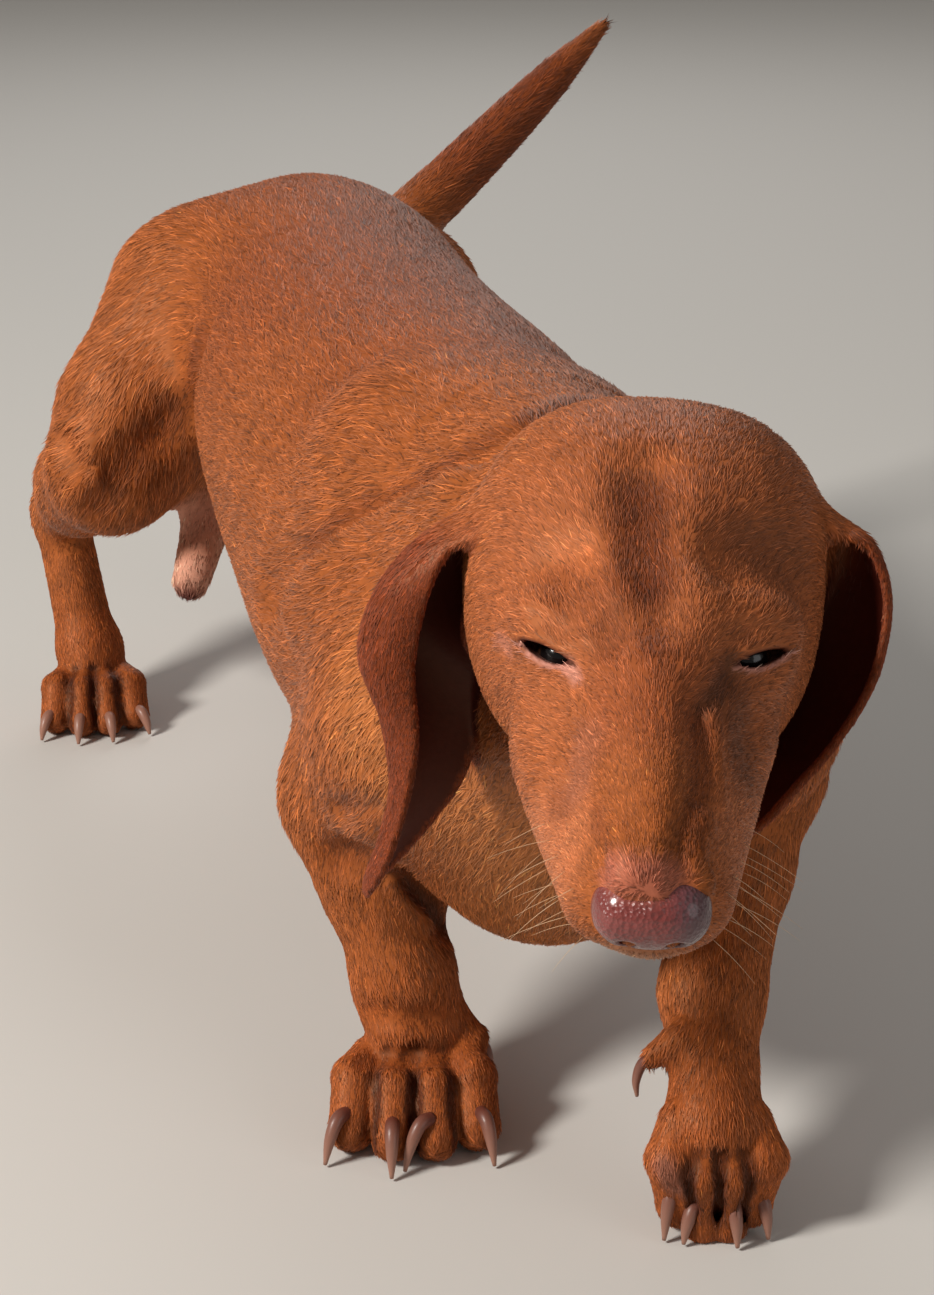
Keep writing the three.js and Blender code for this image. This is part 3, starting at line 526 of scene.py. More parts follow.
# Points over the middle of a curled ear, the way its hollow side looks, and the share of the way across.
def earSheet(rows, downs, acrosses):
    lines = curveAt(rows, np.linspace(0, 1, downs))
    facing, curl = np.radians(lines[:, 5]), np.radians(lines[:, 4])
    hollow = np.stack([np.sin(facing), np.cos(facing), 0 * facing], 1)
    across = np.stack([hollow[:, 1], -hollow[:, 0], 0 * facing], 1)
    radius = lines[:, 3] / curl
    share = np.linspace(-0.5, 0.5, acrosses)
    a = share[None, :] * curl[:, None]
    places = lines[:, None, :3] + across[:, None] * (radius[:, None] * np.sin(a))[..., None]
    places = places + hollow[:, None] * (radius[:, None] * (1 - np.cos(a)))[..., None]
    ways = unit(np.cross(np.gradient(places, axis=1), np.gradient(places, axis=0)))
    middle = acrosses // 2
    ways = ways * np.sign((ways[:, middle] * hollow).sum(1).mean())
    return head.place + places @ head.axes, ways @ head.axes, np.broadcast_to(share, a.shape)


# An ear is a thin curled sheet with a rounded rim, measured from the nearest of its points.
class Ear:
    def __init__(self, side, downs=70, acrosses=50):
        places, ways, share = earSheet(ears[side], downs, acrosses)
        self.root = head.at(*ears[side][0][:3])
        self.flat, self.ways = places.reshape(-1, 3), ways.reshape(-1, 3)
        self.half = (earThick / 2 * (1 - 0.3 * np.abs(2 * share) ** 3) + 0.8).ravel()
        self.run = np.repeat(np.linspace(0, 1, downs), acrosses)
        self.share = share.ravel()
        low, high = self.flat.min(0), self.flat.max(0)
        self.middle, self.reach = (low + high) / 2, np.linalg.norm(high - low) / 2 + 2
        self.lie = unit(places[-1, acrosses // 2] - places[0, acrosses // 2])

    # The nearest point of the sheet to each place, or -1 beyond 12 mm, and how far out on its hollow side.
    def nearest(self, p):
        index, out, beside = np.full(len(p), -1), np.zeros(len(p)), np.zeros(len(p))
        for group in near(p, 20.0):
            q = p[group]
            close = np.flatnonzero(((self.flat > q.min(0) - 12) & (self.flat < q.max(0) + 12)).all(1))
            if not len(close):
                continue
            spots = self.flat[close]
            found = close[((spots**2).sum(1)[None, :] - 2 * q @ spots.T).argmin(1)]
            off = q - self.flat[found]
            index[group], out[group] = found, (off * self.ways[found]).sum(1)
            beside[group] = np.sqrt(np.maximum((off**2).sum(1) - out[group] ** 2, 0))
        return index, out, beside

    def far(self, p):
        index, out, beside = self.nearest(p)
        return np.where(index < 0, 12.0, np.hypot(out, np.maximum(beside - 0.9, 0)) - self.half[index])

    # An ear runs softly into the skull at its root and hangs free lower down.
    def soft(self, p):
        return mix(9.0, 1.0, ramp(14, 34, np.linalg.norm(p - self.root, axis=1)))


def eyeFrame(side):
    out, up = math.radians(eyeSpot["outward"]), math.radians(eyeSpot["upward"])
    look = vec(side * math.sin(out) * math.cos(up), math.cos(out) * math.cos(up), math.sin(up)) @ head.axes
    across = unit(np.cross(head.axes[2], look))
    turn = math.radians(-side * slit["droop"][side])
    upward = np.cross(look, across)
    across, upward = (
        across * math.cos(turn) + upward * math.sin(turn),
        upward * math.cos(turn) - across * math.sin(turn),
    )
    return head.at(side * eyeSpot["x"], eyeSpot["y"], eyeSpot["z"]), np.array([across, upward, look])


# How far places lie outside the almond opening of an eye, which sags below and is flatter above.
def outsideAlmond(a, u, wider=0.0):
    rise = slit["high"] * (1 - (np.clip(a, -11, 11) / (slit["half"] + wider)) ** 2)
    return np.maximum(u - 0.7 * rise, -u - 1.3 * rise)


# The opening between the lids, down to a little below the front of the eye.
def slitHollow(side):
    centre, axes = eyeFrame(side)

    def far(p):
        a, u, d = ((p - centre) @ axes.T).T
        return np.maximum(outsideAlmond(a, u) * 0.85, eyeSpot["radius"] - 2.5 - d)

    return Mass(far, centre + axes[2] * 12, 16, backward)


# The rounded edge of the upper or lower lid, as a thread over the ball of the eye.
def lidEdge(side, share, thick, reach):
    centre, axes = eyeFrame(side)
    spots = []
    for t in np.linspace(-1, 1, 9):
        a = t * (slit["half"] + 1)
        u = share * slit["high"] * (1 - t * t) + math.copysign(thick * 0.9, share)
        spots.append(centre + vec(a, u, math.sqrt(reach**2 - a * a - u * u)) @ axes)
    return thread(spots, thick)


dog = Form()
earMasses = {side: Ear(side) for side in (right, left)}
addTrunk(dog)
addNeck(dog)
addHead(dog)
dog.add(hose(tail), 20)
for leg in legs.values():
    (addForeleg if "blade" in leg else addHindleg)(dog, leg)
for leg in legs.values():
    addPaw(dog, leg)
for side in (right, left):
    dog.add(earMasses[side], earMasses[side].soft)


# The camera's place and aim, in the dog's own frame, and the photo's size in pixels.
camera = {
    "place": vec(-274.6, -909.7, 477.0),
    "azimuth": 18.0,
    "down": 21.6,
    "focal": 2500.0,  # in pixels of the photo
    "clear": 560.0,  # nothing of the dog is nearer than this
    "sensor": 36.0,
}
photoWide, photoHigh = 934, 1295


def cameraAxes():
    a, e = math.radians(camera["azimuth"]), math.radians(camera["down"])
    ahead = vec(math.sin(a) * math.cos(e), math.cos(a) * math.cos(e), -math.sin(e))
    side = unit(np.cross(ahead, vec(0, 0, 1)))
    return ahead, side, np.cross(side, ahead)


# Where a straight line meets the dog.
def onSkin(start, way, turns=90):
    p = np.array([start], float)
    for turn in range(turns):
        p = p + 0.7 * dog.value(p)[:, None] * way
    return p[0]


# The spot of the dog that the photo shows at a pixel.
def seen(x, y):
    ahead, side, up = cameraAxes()
    way = unit(ahead * camera["focal"] + side * (x - photoWide / 2) - up * (y - photoHigh / 2))
    return onSkin(camera["place"] + camera["clear"] * way, way)


# Paths of pixels in the photo that a fold and a mark share.
neckPath = [(588, 396), (520, 425), (440, 470), (370, 505), (310, 545)]
armpitPath = [(399, 872), (415, 890), (432, 908), (446, 926)]
toePath = [(364, 1059), (400, 1055), (440, 1057), (458, 1062)]

# Folds of the skin: a path of pixels, the radius, the depth (less than zero stands up), the softness.
folds = {
    "neckCrease": (neckPath + [(262, 598)], 8.0, 4.6, 10.0),
    "neckRidge": ([(450, 486), (380, 524), (322, 566), (292, 610)], 8.0, -2.2, 10.0),
    "furrow": ([(646, 470), (646, 510), (649, 550), (653, 610)], 8.0, 1.7, 9.0),
    "furrowSide": ([(575, 555), (592, 588), (606, 612), (608, 642)], 5.0, 1.3, 5.0),
    "browEnd": ([(548, 566), (563, 585), (571, 614)], 5.0, 1.0, 6.0),
    "temple": ([(732, 556), (760, 550), (792, 560)], 9.0, 2.4, 8.0),
    "lidCrease_right": ([(500, 630), (520, 623), (546, 621), (566, 632)], 2.6, 0.9, 3.0),
    "lidCrease_left": ([(733, 646), (750, 632), (775, 632), (793, 645)], 2.6, 0.9, 3.0),
    "underEye_right": ([(500, 648), (522, 664), (548, 676), (566, 684)], 3.4, 0.8, 4.0),
    "underEye_left": ([(738, 676), (758, 674), (780, 664)], 3.4, 0.8, 4.0),
    "tear_right": ([(574, 660), (579, 682), (592, 712), (597, 742)], 3.6, 1.5, 4.0),
    "tear_left": ([(730, 668), (722, 688), (704, 712)], 3.6, 1.6, 4.0),
    "muzzleFold": ([(702, 705), (704, 740), (703, 780), (698, 820), (692, 855), (690, 880)], 5.0, 1.3, 6.0),
    "muzzleRidge": ([(717, 715), (720, 745), (722, 775), (724, 806)], 2.0, -0.1, 2.4),
    "lipPad": ([(710, 822), (703, 840), (703, 862), (710, 884)], 3.4, -0.7, 4.0),
    "noseWing": ([(592, 815), (600, 838), (607, 862)], 3.6, 1.2, 4.0),
    "noseTop": ([(612, 838), (618, 860), (624, 880)], 4.0, -0.8, 4.0),
    "thighFront": ([(200, 340), (192, 380), (168, 420), (140, 446), (114, 478), (102, 508)], 9.0, 3.4, 9.0),
    "stifleRing": ([(50, 470), (50, 442), (62, 424), (76, 430), (88, 450), (94, 476)], 3.6, -1.4, 4.0),
    "stifleHollow": ([(67, 440), (72, 462)], 6.0, 2.0, 5.0),
    "armpit": (armpitPath, 5.0, 3.6, 3.0),
    "armpitRidge": ([(392, 884), (410, 906), (430, 924)], 3.0, -1.2, 3.0),
    "elbowFold": ([(336, 812), (352, 807), (372, 809)], 4.0, 1.8, 4.0),
    "elbowRidge": ([(338, 830), (354, 834), (368, 834)], 4.5, -0.9, 5.0),
    "elbowHollow": ([(330, 858), (348, 854), (362, 850)], 7.0, 3.0, 6.0),
    "toeWrinkle": (toePath, 3.4, 0.8, 4.0),
    "wristWrinkle": ([(364, 1012), (400, 1017), (446, 1014)], 4.0, 0.9, 5.0),
}


def foldSpots(form, pixels):
    spots = np.array([seen(*pixel) for pixel in pixels])
    spots = spots[form.value(spots) < 2]
    return curveAt(spots, np.linspace(0, 1, 3 * len(spots)))


def addFolds(form):
    made = []
    for pixels, radius, depth, soft in folds.values():
        spots = foldSpots(form, pixels)
        slope = slopeOf(form.value, spots)[1]
        offset = math.copysign(radius - abs(depth), depth)
        made.append((thread(spots + unit(slope) * offset, radius), soft, depth))
    for mass, soft, depth in made:
        (form.press if depth > 0 else form.add)(mass, soft)


# Spots of the lip in the head's frame: y, z, and how much its line faces to the side rather than ahead.
lipLine = [(52, -38, 1), (66, -38, 1), (82, -36.5, 1), (98, -35, 1), (110, -34.5, 0.8)]


# The line of the mouth, from one corner round below the nose to the other.
def mouthPoints():
    spots = []
    for side, rows in ((right, lipLine), (left, lipLine[::-1])):
        for y, z, out in rows:
            spots.append(onSkin(head.at(0, y, z), -unit(vec(side * out, 1 - out, 0) @ head.axes), 60))
        if side == right:
            spots.append(onSkin(head.at(0, 100, -33.5), -head.axes[1], 60))
    return curveAt(spots, np.linspace(0, 1, 40))


print("dog of", len(dog.steps), "masses")
mouth = thread(mouthPoints(), 0.9)
addFolds(dog)
dog.press(mouth, 1.5)
for side in (right, left):
    dog.add(lidEdge(side, 0.7, 1.7, 11.2), 2.0)
    dog.add(lidEdge(side, -1.3, 1.2, 11.0), 1.6)
    dog.press(slitHollow(side), 0.9)
print("folds, mouth and lids:", len(dog.steps), "masses and hollows in all")


# How far the skin lies below the tips of the coat.
def coatDepth(points):
    face = ramp(60, 30, np.linalg.norm(points - head.at(0, 70, -10), axis=1))
    return mix(1.0, 0.5, np.maximum(face, ramp(60, 30, points[:, 2])))


def skinValue(points):
    return np.maximum(dog.value(points) + coatDepth(points), -points[:, 2])


# Where the skin's cells are finer: a middle and a reach for level 1, and for level 0.
tailRoot = (vec(30, 246, 205), 40)
fineSpots = [(head.at(0, 112, -20), 36), (head.at(0, 66, -4), 50)]
fineSpots += [(leg["paw"]["frame"].at(0, 18, 12), 40) for leg in legs.values() if "blade" in leg]


def within(points, middle, reach):
    return np.linalg.norm(points - middle, axis=1) < reach


def levelAt(points):
    x, y, z = points.T
    level = np.full(len(points), 2)
    foreparts, feet, tailEnd = y < -120, z < 90, (x > 40) & (y > 240) & (z > 200)
    level[foreparts | feet | tailEnd | within(points, *tailRoot)] = 1
    for spot in fineSpots:
        level[within(points, *spot)] = 0
    for ear in earMasses.values():
        index = np.flatnonzero(within(points, ear.middle, ear.reach))
        level[index[ear.far(points[index]) < 3.5]] = 0
    return level


started = time.time()
skinLow, skinHigh = (-175, -460, -3), (230, 345, 330)
skinPlaces, skinFaces = wrapped(skinValue, skinLow, skinHigh, skinCell, levelAt)
print("skin", len(skinPlaces), "points", len(skinFaces), "triangles", round(time.time() - started, 1), "s")


# Twice the area of each triangle, along the way that it faces.
def facesOf(places, faces):
    a, b, c = places[faces[:, 0]], places[faces[:, 1]], places[faces[:, 2]]
    return np.cross(b - a, c - a)


# The sum at each point of what its triangles hold.
def spread(values, faces, count):
    total = np.zeros((count, values.shape[1]))
    for corner in range(3):
        for i in range(values.shape[1]):
            total[:, i] += np.bincount(faces[:, corner], values[:, i], minlength=count)
    return total


# Values evened out with those of the points beside them.
def smoothed(values, faces, turns):
    edges = np.vstack([faces[:, [0, 1]], faces[:, [1, 2]], faces[:, [2, 0]]])
    a, b = np.concatenate([edges[:, 0], edges[:, 1]]), np.concatenate([edges[:, 1], edges[:, 0]])
    amount = np.bincount(a, minlength=len(values))[:, None] + 1
    for turn in range(turns):
        total = [np.bincount(a, values[b, i], minlength=len(values)) for i in range(values.shape[1])]
        values = (values + np.stack(total, 1)) / amount
    return values


skinWays = unit(spread(facesOf(skinPlaces, skinFaces), skinFaces, len(skinPlaces)))


def coatLie(places, ways, faces):
    total = np.zeros_like(places)

    def visit(mass, group, d):
        total[group] += np.exp(-np.maximum(d, 0) / 6)[:, None] * mass.lie

    dog.value(places, visit)
    total = unit(total)
    total[:, 2] -= 0.35 * (1 - np.abs(ways[:, 2])) * ramp(70, 110, places[:, 2])
    total = smoothed(total, faces, 12)
    return unit(total - (total * ways).sum(1)[:, None] * ways)


skinLie = coatLie(skinPlaces, skinWays, skinFaces)


# Colours, as red, green and blue from 0 to 255 on a screen.
colours = {
    "coat": (158, 86, 42),
    "back": (146, 74, 38),
    # Paler throat hair, lightened further as a painted highlight of sun on the throat and chest.
    "throatPaleAndLit": (198, 124, 70),
    "belly": (204, 130, 82),
    "flank": (214, 128, 70),
    "muzzle": (188, 114, 76),
    "face": (166, 94, 56),
    "bridge": (150, 78, 42),
    "chin": (206, 160, 128),
    "brow": (186, 104, 58),
    "ear": (112, 46, 22),
    # The ear's dark brown-red lining, darkened further as painted shade inside its hollow.
    "earLiningWithShade": (66, 22, 14),
    "rim": (70, 30, 24),
    "lidPink": (196, 134, 118),
    "lip": (66, 34, 28),
    "feet": (158, 82, 38),
    # Painted shade for the grooves between the toes and for the armpit.
    "gap": (58, 20, 8),
    # Painted shade for creases, folds, hollows and the shaded side of the forehead.
    "dark": (88, 34, 14),
    # Grey-brown painted shade for the shaded left side of the face.
    "dusky": (96, 56, 38),
    "mauve": (150, 96, 78),
    "pink": (180, 104, 84),
    "sheath": (222, 162, 138),
    "sheathTip": (96, 46, 40),
    "tail": (118, 54, 27),
    "nose": (122, 53, 49),
    # Grey painted shade for the leather's shaded left side.
    "noseShadedSide": (84, 54, 60),
    "claw": (98, 52, 42),
    "clawTip": (160, 116, 98),
    "whisker": (214, 178, 140),
}


def light(name):
    c = np.array(colours[name], float) / 255
    return np.where(c < 0.04045, c / 12.92, ((c + 0.055) / 1.055) ** 2.4)


# Patches of another colour: the middle, the reach in millimetres, the colour and how strong it is.
patches = [
    (vec(-5, 60, 250), 120, "back", 0.7),
    (vec(-5, -60, 245), 90, "back", 0.5),
    (vec(10, 200, 250), 90, "back", 0.6),
    (vec(-6, 60, 100), 80, "belly", 0.8),
    (vec(-14, 150, 120), 60, "belly", 0.7),
    # The throat and chest: paler hair, with a painted highlight where sun would fall on them.
    (vec(-16, -235, 150), 70, "throatPaleAndLit", 0.9),
    (vec(-12, -215, 100), 60, "throatPaleAndLit", 0.5),
    (vec(-64, -215, 170), 45, "throatPaleAndLit", 0.5),
    (head.at(0, 30, -48), 50, "throatPaleAndLit", 0.8),
    (head.at(0, 30, 10), 90, "face", 0.8),
    (head.at(-22, 95, -26), 30, "muzzle", 0.8),
    (head.at(22, 95, -26), 30, "muzzle", 0.8),
    (head.at(0, 75, 14), 26, "bridge", 0.7),
    (head.at(-2, 118, -36), 16, "chin", 0.7),
    (head.at(-22, 36, 26), 20, "brow", 0.6),
    (head.at(22, 36, 26), 20, "brow", 0.6),
    (mix(sheathRoot, sheathTip, 0.25), 26, "flank", 0.6),
    (mix(sheathRoot, sheathTip, 0.6), 26, "sheath", 0.9),
    (sheathTip, 22, "sheath", 0.9),
    (sheathTip + vec(-4, -6, -8), 13, "sheathTip", 1.0),
    (vec(130, 280, 260), 90, "tail", 0.8),
]


# Marks along a path of pixels: the path, the reach in millimetres, the colour and its strength. The darker
# ones are painted shade, in creases, folds, hollows and the armpit and on the face's shaded left side; the
# pale, pink and mauve ones are the skin's own colour.
marks = {
    "furrow": ([(643, 502), (641, 540), (647, 584)], 13, "dark", 0.65),
    "furrowEnd": ([(649, 590), (654, 650)], 6, "dark", 0.35),
    "furrowSide": ([(598, 586), (606, 616), (608, 645)], 9, "dark", 0.35),
    "browEnd": ([(560, 578), (570, 612)], 8, "dark", 0.28),
    "thighFront": ([(200, 345), (192, 380), (168, 420), (138, 448), (104, 500)], 13, "dark", 0.4),
    "neckCrease": (neckPath, 6, "dark", 0.4),
    "temple": ([(750, 555), (785, 552)], 15, "dusky", 0.4),
    "foreheadSide": ([(700, 480), (716, 530)], 13, "dark", 0.15),
    "cheekShade": ([(482, 698), (496, 736), (512, 772)], 8, "dark", 0.35),
    "noseFold": ([(596, 812), (598, 828), (605, 846)], 4, "dark", 0.35),
    "tearPale": ([(566, 664), (576, 678)], 3.5, "lidPink", 0.7),
    "cornerPale": ([(498, 640), (508, 650)], 4, "lidPink", 0.4),
    "tearDark": ([(728, 664), (718, 690), (702, 712)], 5, "dusky", 0.7),
    "cheekDusky": ([(735, 700), (742, 760)], 14, "dusky", 0.6),
    "muzzleFold": ([(700, 730), (700, 790), (692, 850)], 6, "dark", 0.45),
    "whiskerPit": ([(556, 800), (562, 808)], 7, "dark", 0.35),
    "mauve": ([(584, 742), (578, 782)], 10, "mauve", 0.35),
    "noseTop": ([(608, 876), (640, 882), (672, 884)], 9, "pink", 0.75),
    "armpit": (armpitPath, 6, "gap", 0.8),
    "elbowHollow": ([(336, 858), (350, 854), (362, 850)], 10, "dark", 0.35),
    "toeWrinkle": (toePath, 5, "dark", 0.25),
    "pad": ([(664, 1166), (676, 1186)], 7, "mauve", 0.8),
}
markThreads = [(thread(foldSpots(dog, pixels), 0), *rest) for pixels, *rest in marks.values()]
grooves = [toeGroove(leg["paw"], share) for leg in legs.values() for share in (-1, 0, 1)]


def tinted(colour, name, amount):
    return colour + (light(name) - colour) * amount[:, None]


# The coat is mottled, from waves that cross one another at every angle. Their lengths are in millimetres.
mottle = {"waves": 14, "shortest": 4.5, "longest": 15, "strength": 0.08}


def mottled(places):
    rng = np.random.default_rng(5)
    count = mottle["waves"]
    ways = unit(rng.normal(size=(count, 3)))
    lengths = rng.uniform(mottle["shortest"], mottle["longest"], count)[:, None]
    waves = places @ (ways * 2 * np.pi / lengths).T + rng.uniform(0, 2 * np.pi, count)
    return 1 + mottle["strength"] * np.sin(waves).sum(1)[:, None] / np.sqrt(count / 2)


def coatColour(places):
    colour = np.tile(light("coat"), (len(places), 1)) * mottled(places)
    for middle, reach, name, amount in patches:
        away = np.linalg.norm(places - middle, axis=1) / reach
        colour = tinted(colour, name, amount * ramp(1.0, 0.35, away))
    colour = tinted(colour, "feet", 0.8 * ramp(70, 40, places[:, 2]))
    # Marks along paths, most of them painted shade in creases and on the face's shaded side.
    for line, reach, name, amount in markThreads:
        close = np.flatnonzero(within(places, line.middle, line.reach + reach))
        colour[close] = tinted(colour[close], name, amount * ramp(1.0, 0.25, line.far(places[close]) / reach))
    # Painted shade in the grooves between the toes.
    for groove in grooves:
        close = np.flatnonzero(within(places, groove.middle, groove.reach + 4))
        colour[close] = tinted(colour[close], "gap", 0.85 * ramp(3.2, 0.4, groove.far(places[close])))
    for side, ear in earMasses.items():
        outer, inner = earZones(ear, places)
        colour = tinted(colour, "ear", outer * 0.9)
        # The lining: its own dark skin, with painted shade inside the hollow.
        colour = tinted(colour, "earLiningWithShade", inner)
        centre, axes = eyeFrame(side)
        a, u, d = ((places - centre) @ axes.T).T
        almond = outsideAlmond(a, u, 1.0)
        beside = (np.abs(a) < 10.5) & (d > 4)
        below = ramp(2.6, 1.6, almond) * ramp(0.4, 1.0, almond) * beside * (u < -0.5)
        colour = tinted(colour, "rim", ramp(1.9, 0.5, almond) * beside)
        colour = tinted(colour, "lidPink", below)
    return tinted(colour, "lip", ramp(2.2, 0.8, mouth.far(places)))


# How much places belong to an ear's outside, and to the bare lining of its hollow side.
def earZones(ear, places):
    index, out = ear.nearest(places)[:2]
    close = ramp(3.5, 1.5, ear.far(places)) * ramp(8, 30, np.linalg.norm(places - ear.root, axis=1))
    inner = close * ramp(0.0, 0.9, out) * ramp(0.5, 0.47, np.abs(ear.share[index]))
    return close, inner


# Into the frame: metres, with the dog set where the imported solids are, by the middle of its right eye.
low, high = (vec(*corner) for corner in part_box("eye_right"))
shift = (low + high) / 2 - head.at(right * eyeSpot["x"], eyeSpot["y"], eyeSpot["z"]) / 1000


def toFrame(points):
    return points / 1000 + shift


def meshObject(name, places, faces, material, slot, ways=None, colour=None):
    mesh = bpy.data.meshes.new(name)
    mesh.vertices.add(len(places))
    mesh.vertices.foreach_set("co", toFrame(places).astype(np.float32).ravel())
    mesh.loops.add(faces.size)
    mesh.loops.foreach_set("vertex_index", faces.astype(np.int32).ravel())
    mesh.polygons.add(len(faces))
    mesh.polygons.foreach_set("loop_start", np.arange(len(faces), dtype=np.int32) * faces.shape[1])
    mesh.update(calc_edges=True)
    mesh.validate()
    mesh.shade_smooth()
    if colour is not None:
        layer = mesh.color_attributes.new("coat", "FLOAT_COLOR", "POINT")
        solid = np.column_stack([colour, np.ones(len(colour))])
        layer.data.foreach_set("color", solid.astype(np.float32).ravel())
    if ways is not None:
        mesh.normals_split_custom_set_from_vertices(ways)
    made = bpy.data.objects.new(name, mesh)
    bpy.context.scene.collection.objects.link(made)
    mesh.materials.append(material)
    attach(made, "root")
    return made


class Paint:
    # A node material: nodes are added by type, and a link runs from one socket to another.
    def __init__(self, name):
        self.material = bpy.data.materials.new(name)
        self.material.use_nodes = True
        self.tree = self.material.node_tree
        self.shader = self.tree.nodes["Principled BSDF"]

    def node(self, kind, **values):
        made = self.tree.nodes.new("ShaderNode" + kind)
        for key, value in values.items():
            if hasattr(made, key):
                setattr(made, key, value)
            else:
                made.inputs[key.replace("_", " ")].default_value = value
        return made

    def link(self, start, end):
        self.tree.links.new(start, end)

    def set(self, **values):
        for key, value in values.items():
            self.shader.inputs[key.replace("_", " ")].default_value = value


# The mesh's own colour, made darker and lighter between two limits by soft noise, which is given back.
def streaked(paint, scale, low, high):
    colour = paint.node("Attribute", attribute_name="coat").outputs["Color"]
    place = paint.node("TexCoord").outputs["Object"]
    noise = paint.node("TexNoise", Scale=scale, Detail=3.0)
    paint.link(place, noise.inputs["Vector"])
    limits = paint.node("MapRange", To_Min=low, To_Max=high)
    paint.link(noise.outputs["Fac"], limits.inputs["Value"])
    tint = paint.node("VectorMath", operation="SCALE")
    paint.link(colour, tint.inputs[0])
    paint.link(limits.outputs["Result"], tint.inputs["Scale"])
    paint.link(tint.outputs["Vector"], paint.shader.inputs["Base Color"])
    return noise.outputs["Fac"]


def bumped(paint, height, strength, distance):
    bump = paint.node("Bump", Strength=strength, Distance=distance)
    paint.link(height, bump.inputs["Height"])
    paint.link(bump.outputs["Normal"], paint.shader.inputs["Normal"])


glintTint = (1.0, 0.6, 0.36)  # light glancing off the hairs is golden


def skinPaint():
    paint = Paint("skin")
    pores = streaked(paint, 420.0, 0.78, 1.12)
    bumped(paint, pores, 0.3, 0.0004)
    paint.set(Roughness=0.55, Specular_IOR_Level=0.25, Specular_Tint=(*glintTint, 1))
    return paint.material


def coatPaint():
    paint = Paint("coat")
    streaked(paint, 60.0, 0.82, 1.15)
    paint.set(Roughness=0.42, Specular_IOR_Level=0.26, Specular_Tint=(*glintTint, 1))
    return paint.material


started = time.time()
skin = meshObject("skin", skinPlaces, skinFaces, skinPaint(), "coat", colour=coatColour(skinPlaces))
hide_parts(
    "torso",
    "neck",
    "tail",
    "head",
    "ear_right",
    "ear_left",
    *legs,
    *[name.replace("foreleg", "paw_fore").replace("hindleg", "paw_hind") for name in legs],
)
print("skin colours", round(time.time() - started, 1), "s")

# The short coat: thin tufts, set close and lying along the skin. Lengths and widths are in millimetres.
aboveFloor = 0.2
coat = {
    "length": 7.0,
    "width": 0.72,
    "lift": 0.085,  # how far the tip stands off, as a share of the length
    "sunk": 0.25,  # how deep the foot of a tuft lies in the skin
    "bow": 0.3,  # how high its back stands
    "cover": 1.15,  # layers of tufts over the skin
    "wander": 11.0,  # degrees to either side of the lie
    "shades": 0.32,  # how much one tuft is lighter or darker than the next
    # The foot is darker as painted shade deep in the coat, and the tip is lighter and paler, partly as a
    # painted highlight.
    "along": ((0.5, 0.0), (0.9, 0.0), (1.38, 0.03)),  # the colour times and plus these: foot, back, tip
    "quickly": 0.5,
    "most": 48000,  # tufts in one piece
}


# Length of the tufts, as a share of the longest.
def lengthShare(places):
    share = np.ones(len(places))
    inHead = head.inside(places)
    face = ramp(95, 55, np.linalg.norm(inHead - vec(0, 10, -10), axis=1))
    muzzle = ramp(60, 90, inHead[:, 1]) * (np.abs(inHead[:, 0]) < 50) * (np.abs(inHead[:, 2] + 20) < 50)
    muzzle = np.maximum(muzzle, ramp(44, 60, inHead[:, 1]) * 0.5 * face)
    share = mix(share, 0.5, face)
    share = mix(share, 0.3, muzzle)
    sheath = np.linalg.norm(places - mix(sheathRoot, sheathTip, 0.75), axis=1)
    share = mix(share, 0.4, ramp(36, 24, sheath))
    share = mix(share, 0.62, ramp(130, 70, places[:, 2]))
    share = mix(share, 0.4, ramp(50, 22, places[:, 2]))
    for ear in earMasses.values():
        outer = earZones(ear, places)[0]
        index = ear.nearest(places)[0]
        rim = np.maximum(ramp(0.4, 0.47, np.abs(ear.share[index])), ramp(0.9, 0.98, ear.run[index]))
        share = mix(share, mix(0.5, 0.24, rim), outer)
    return share


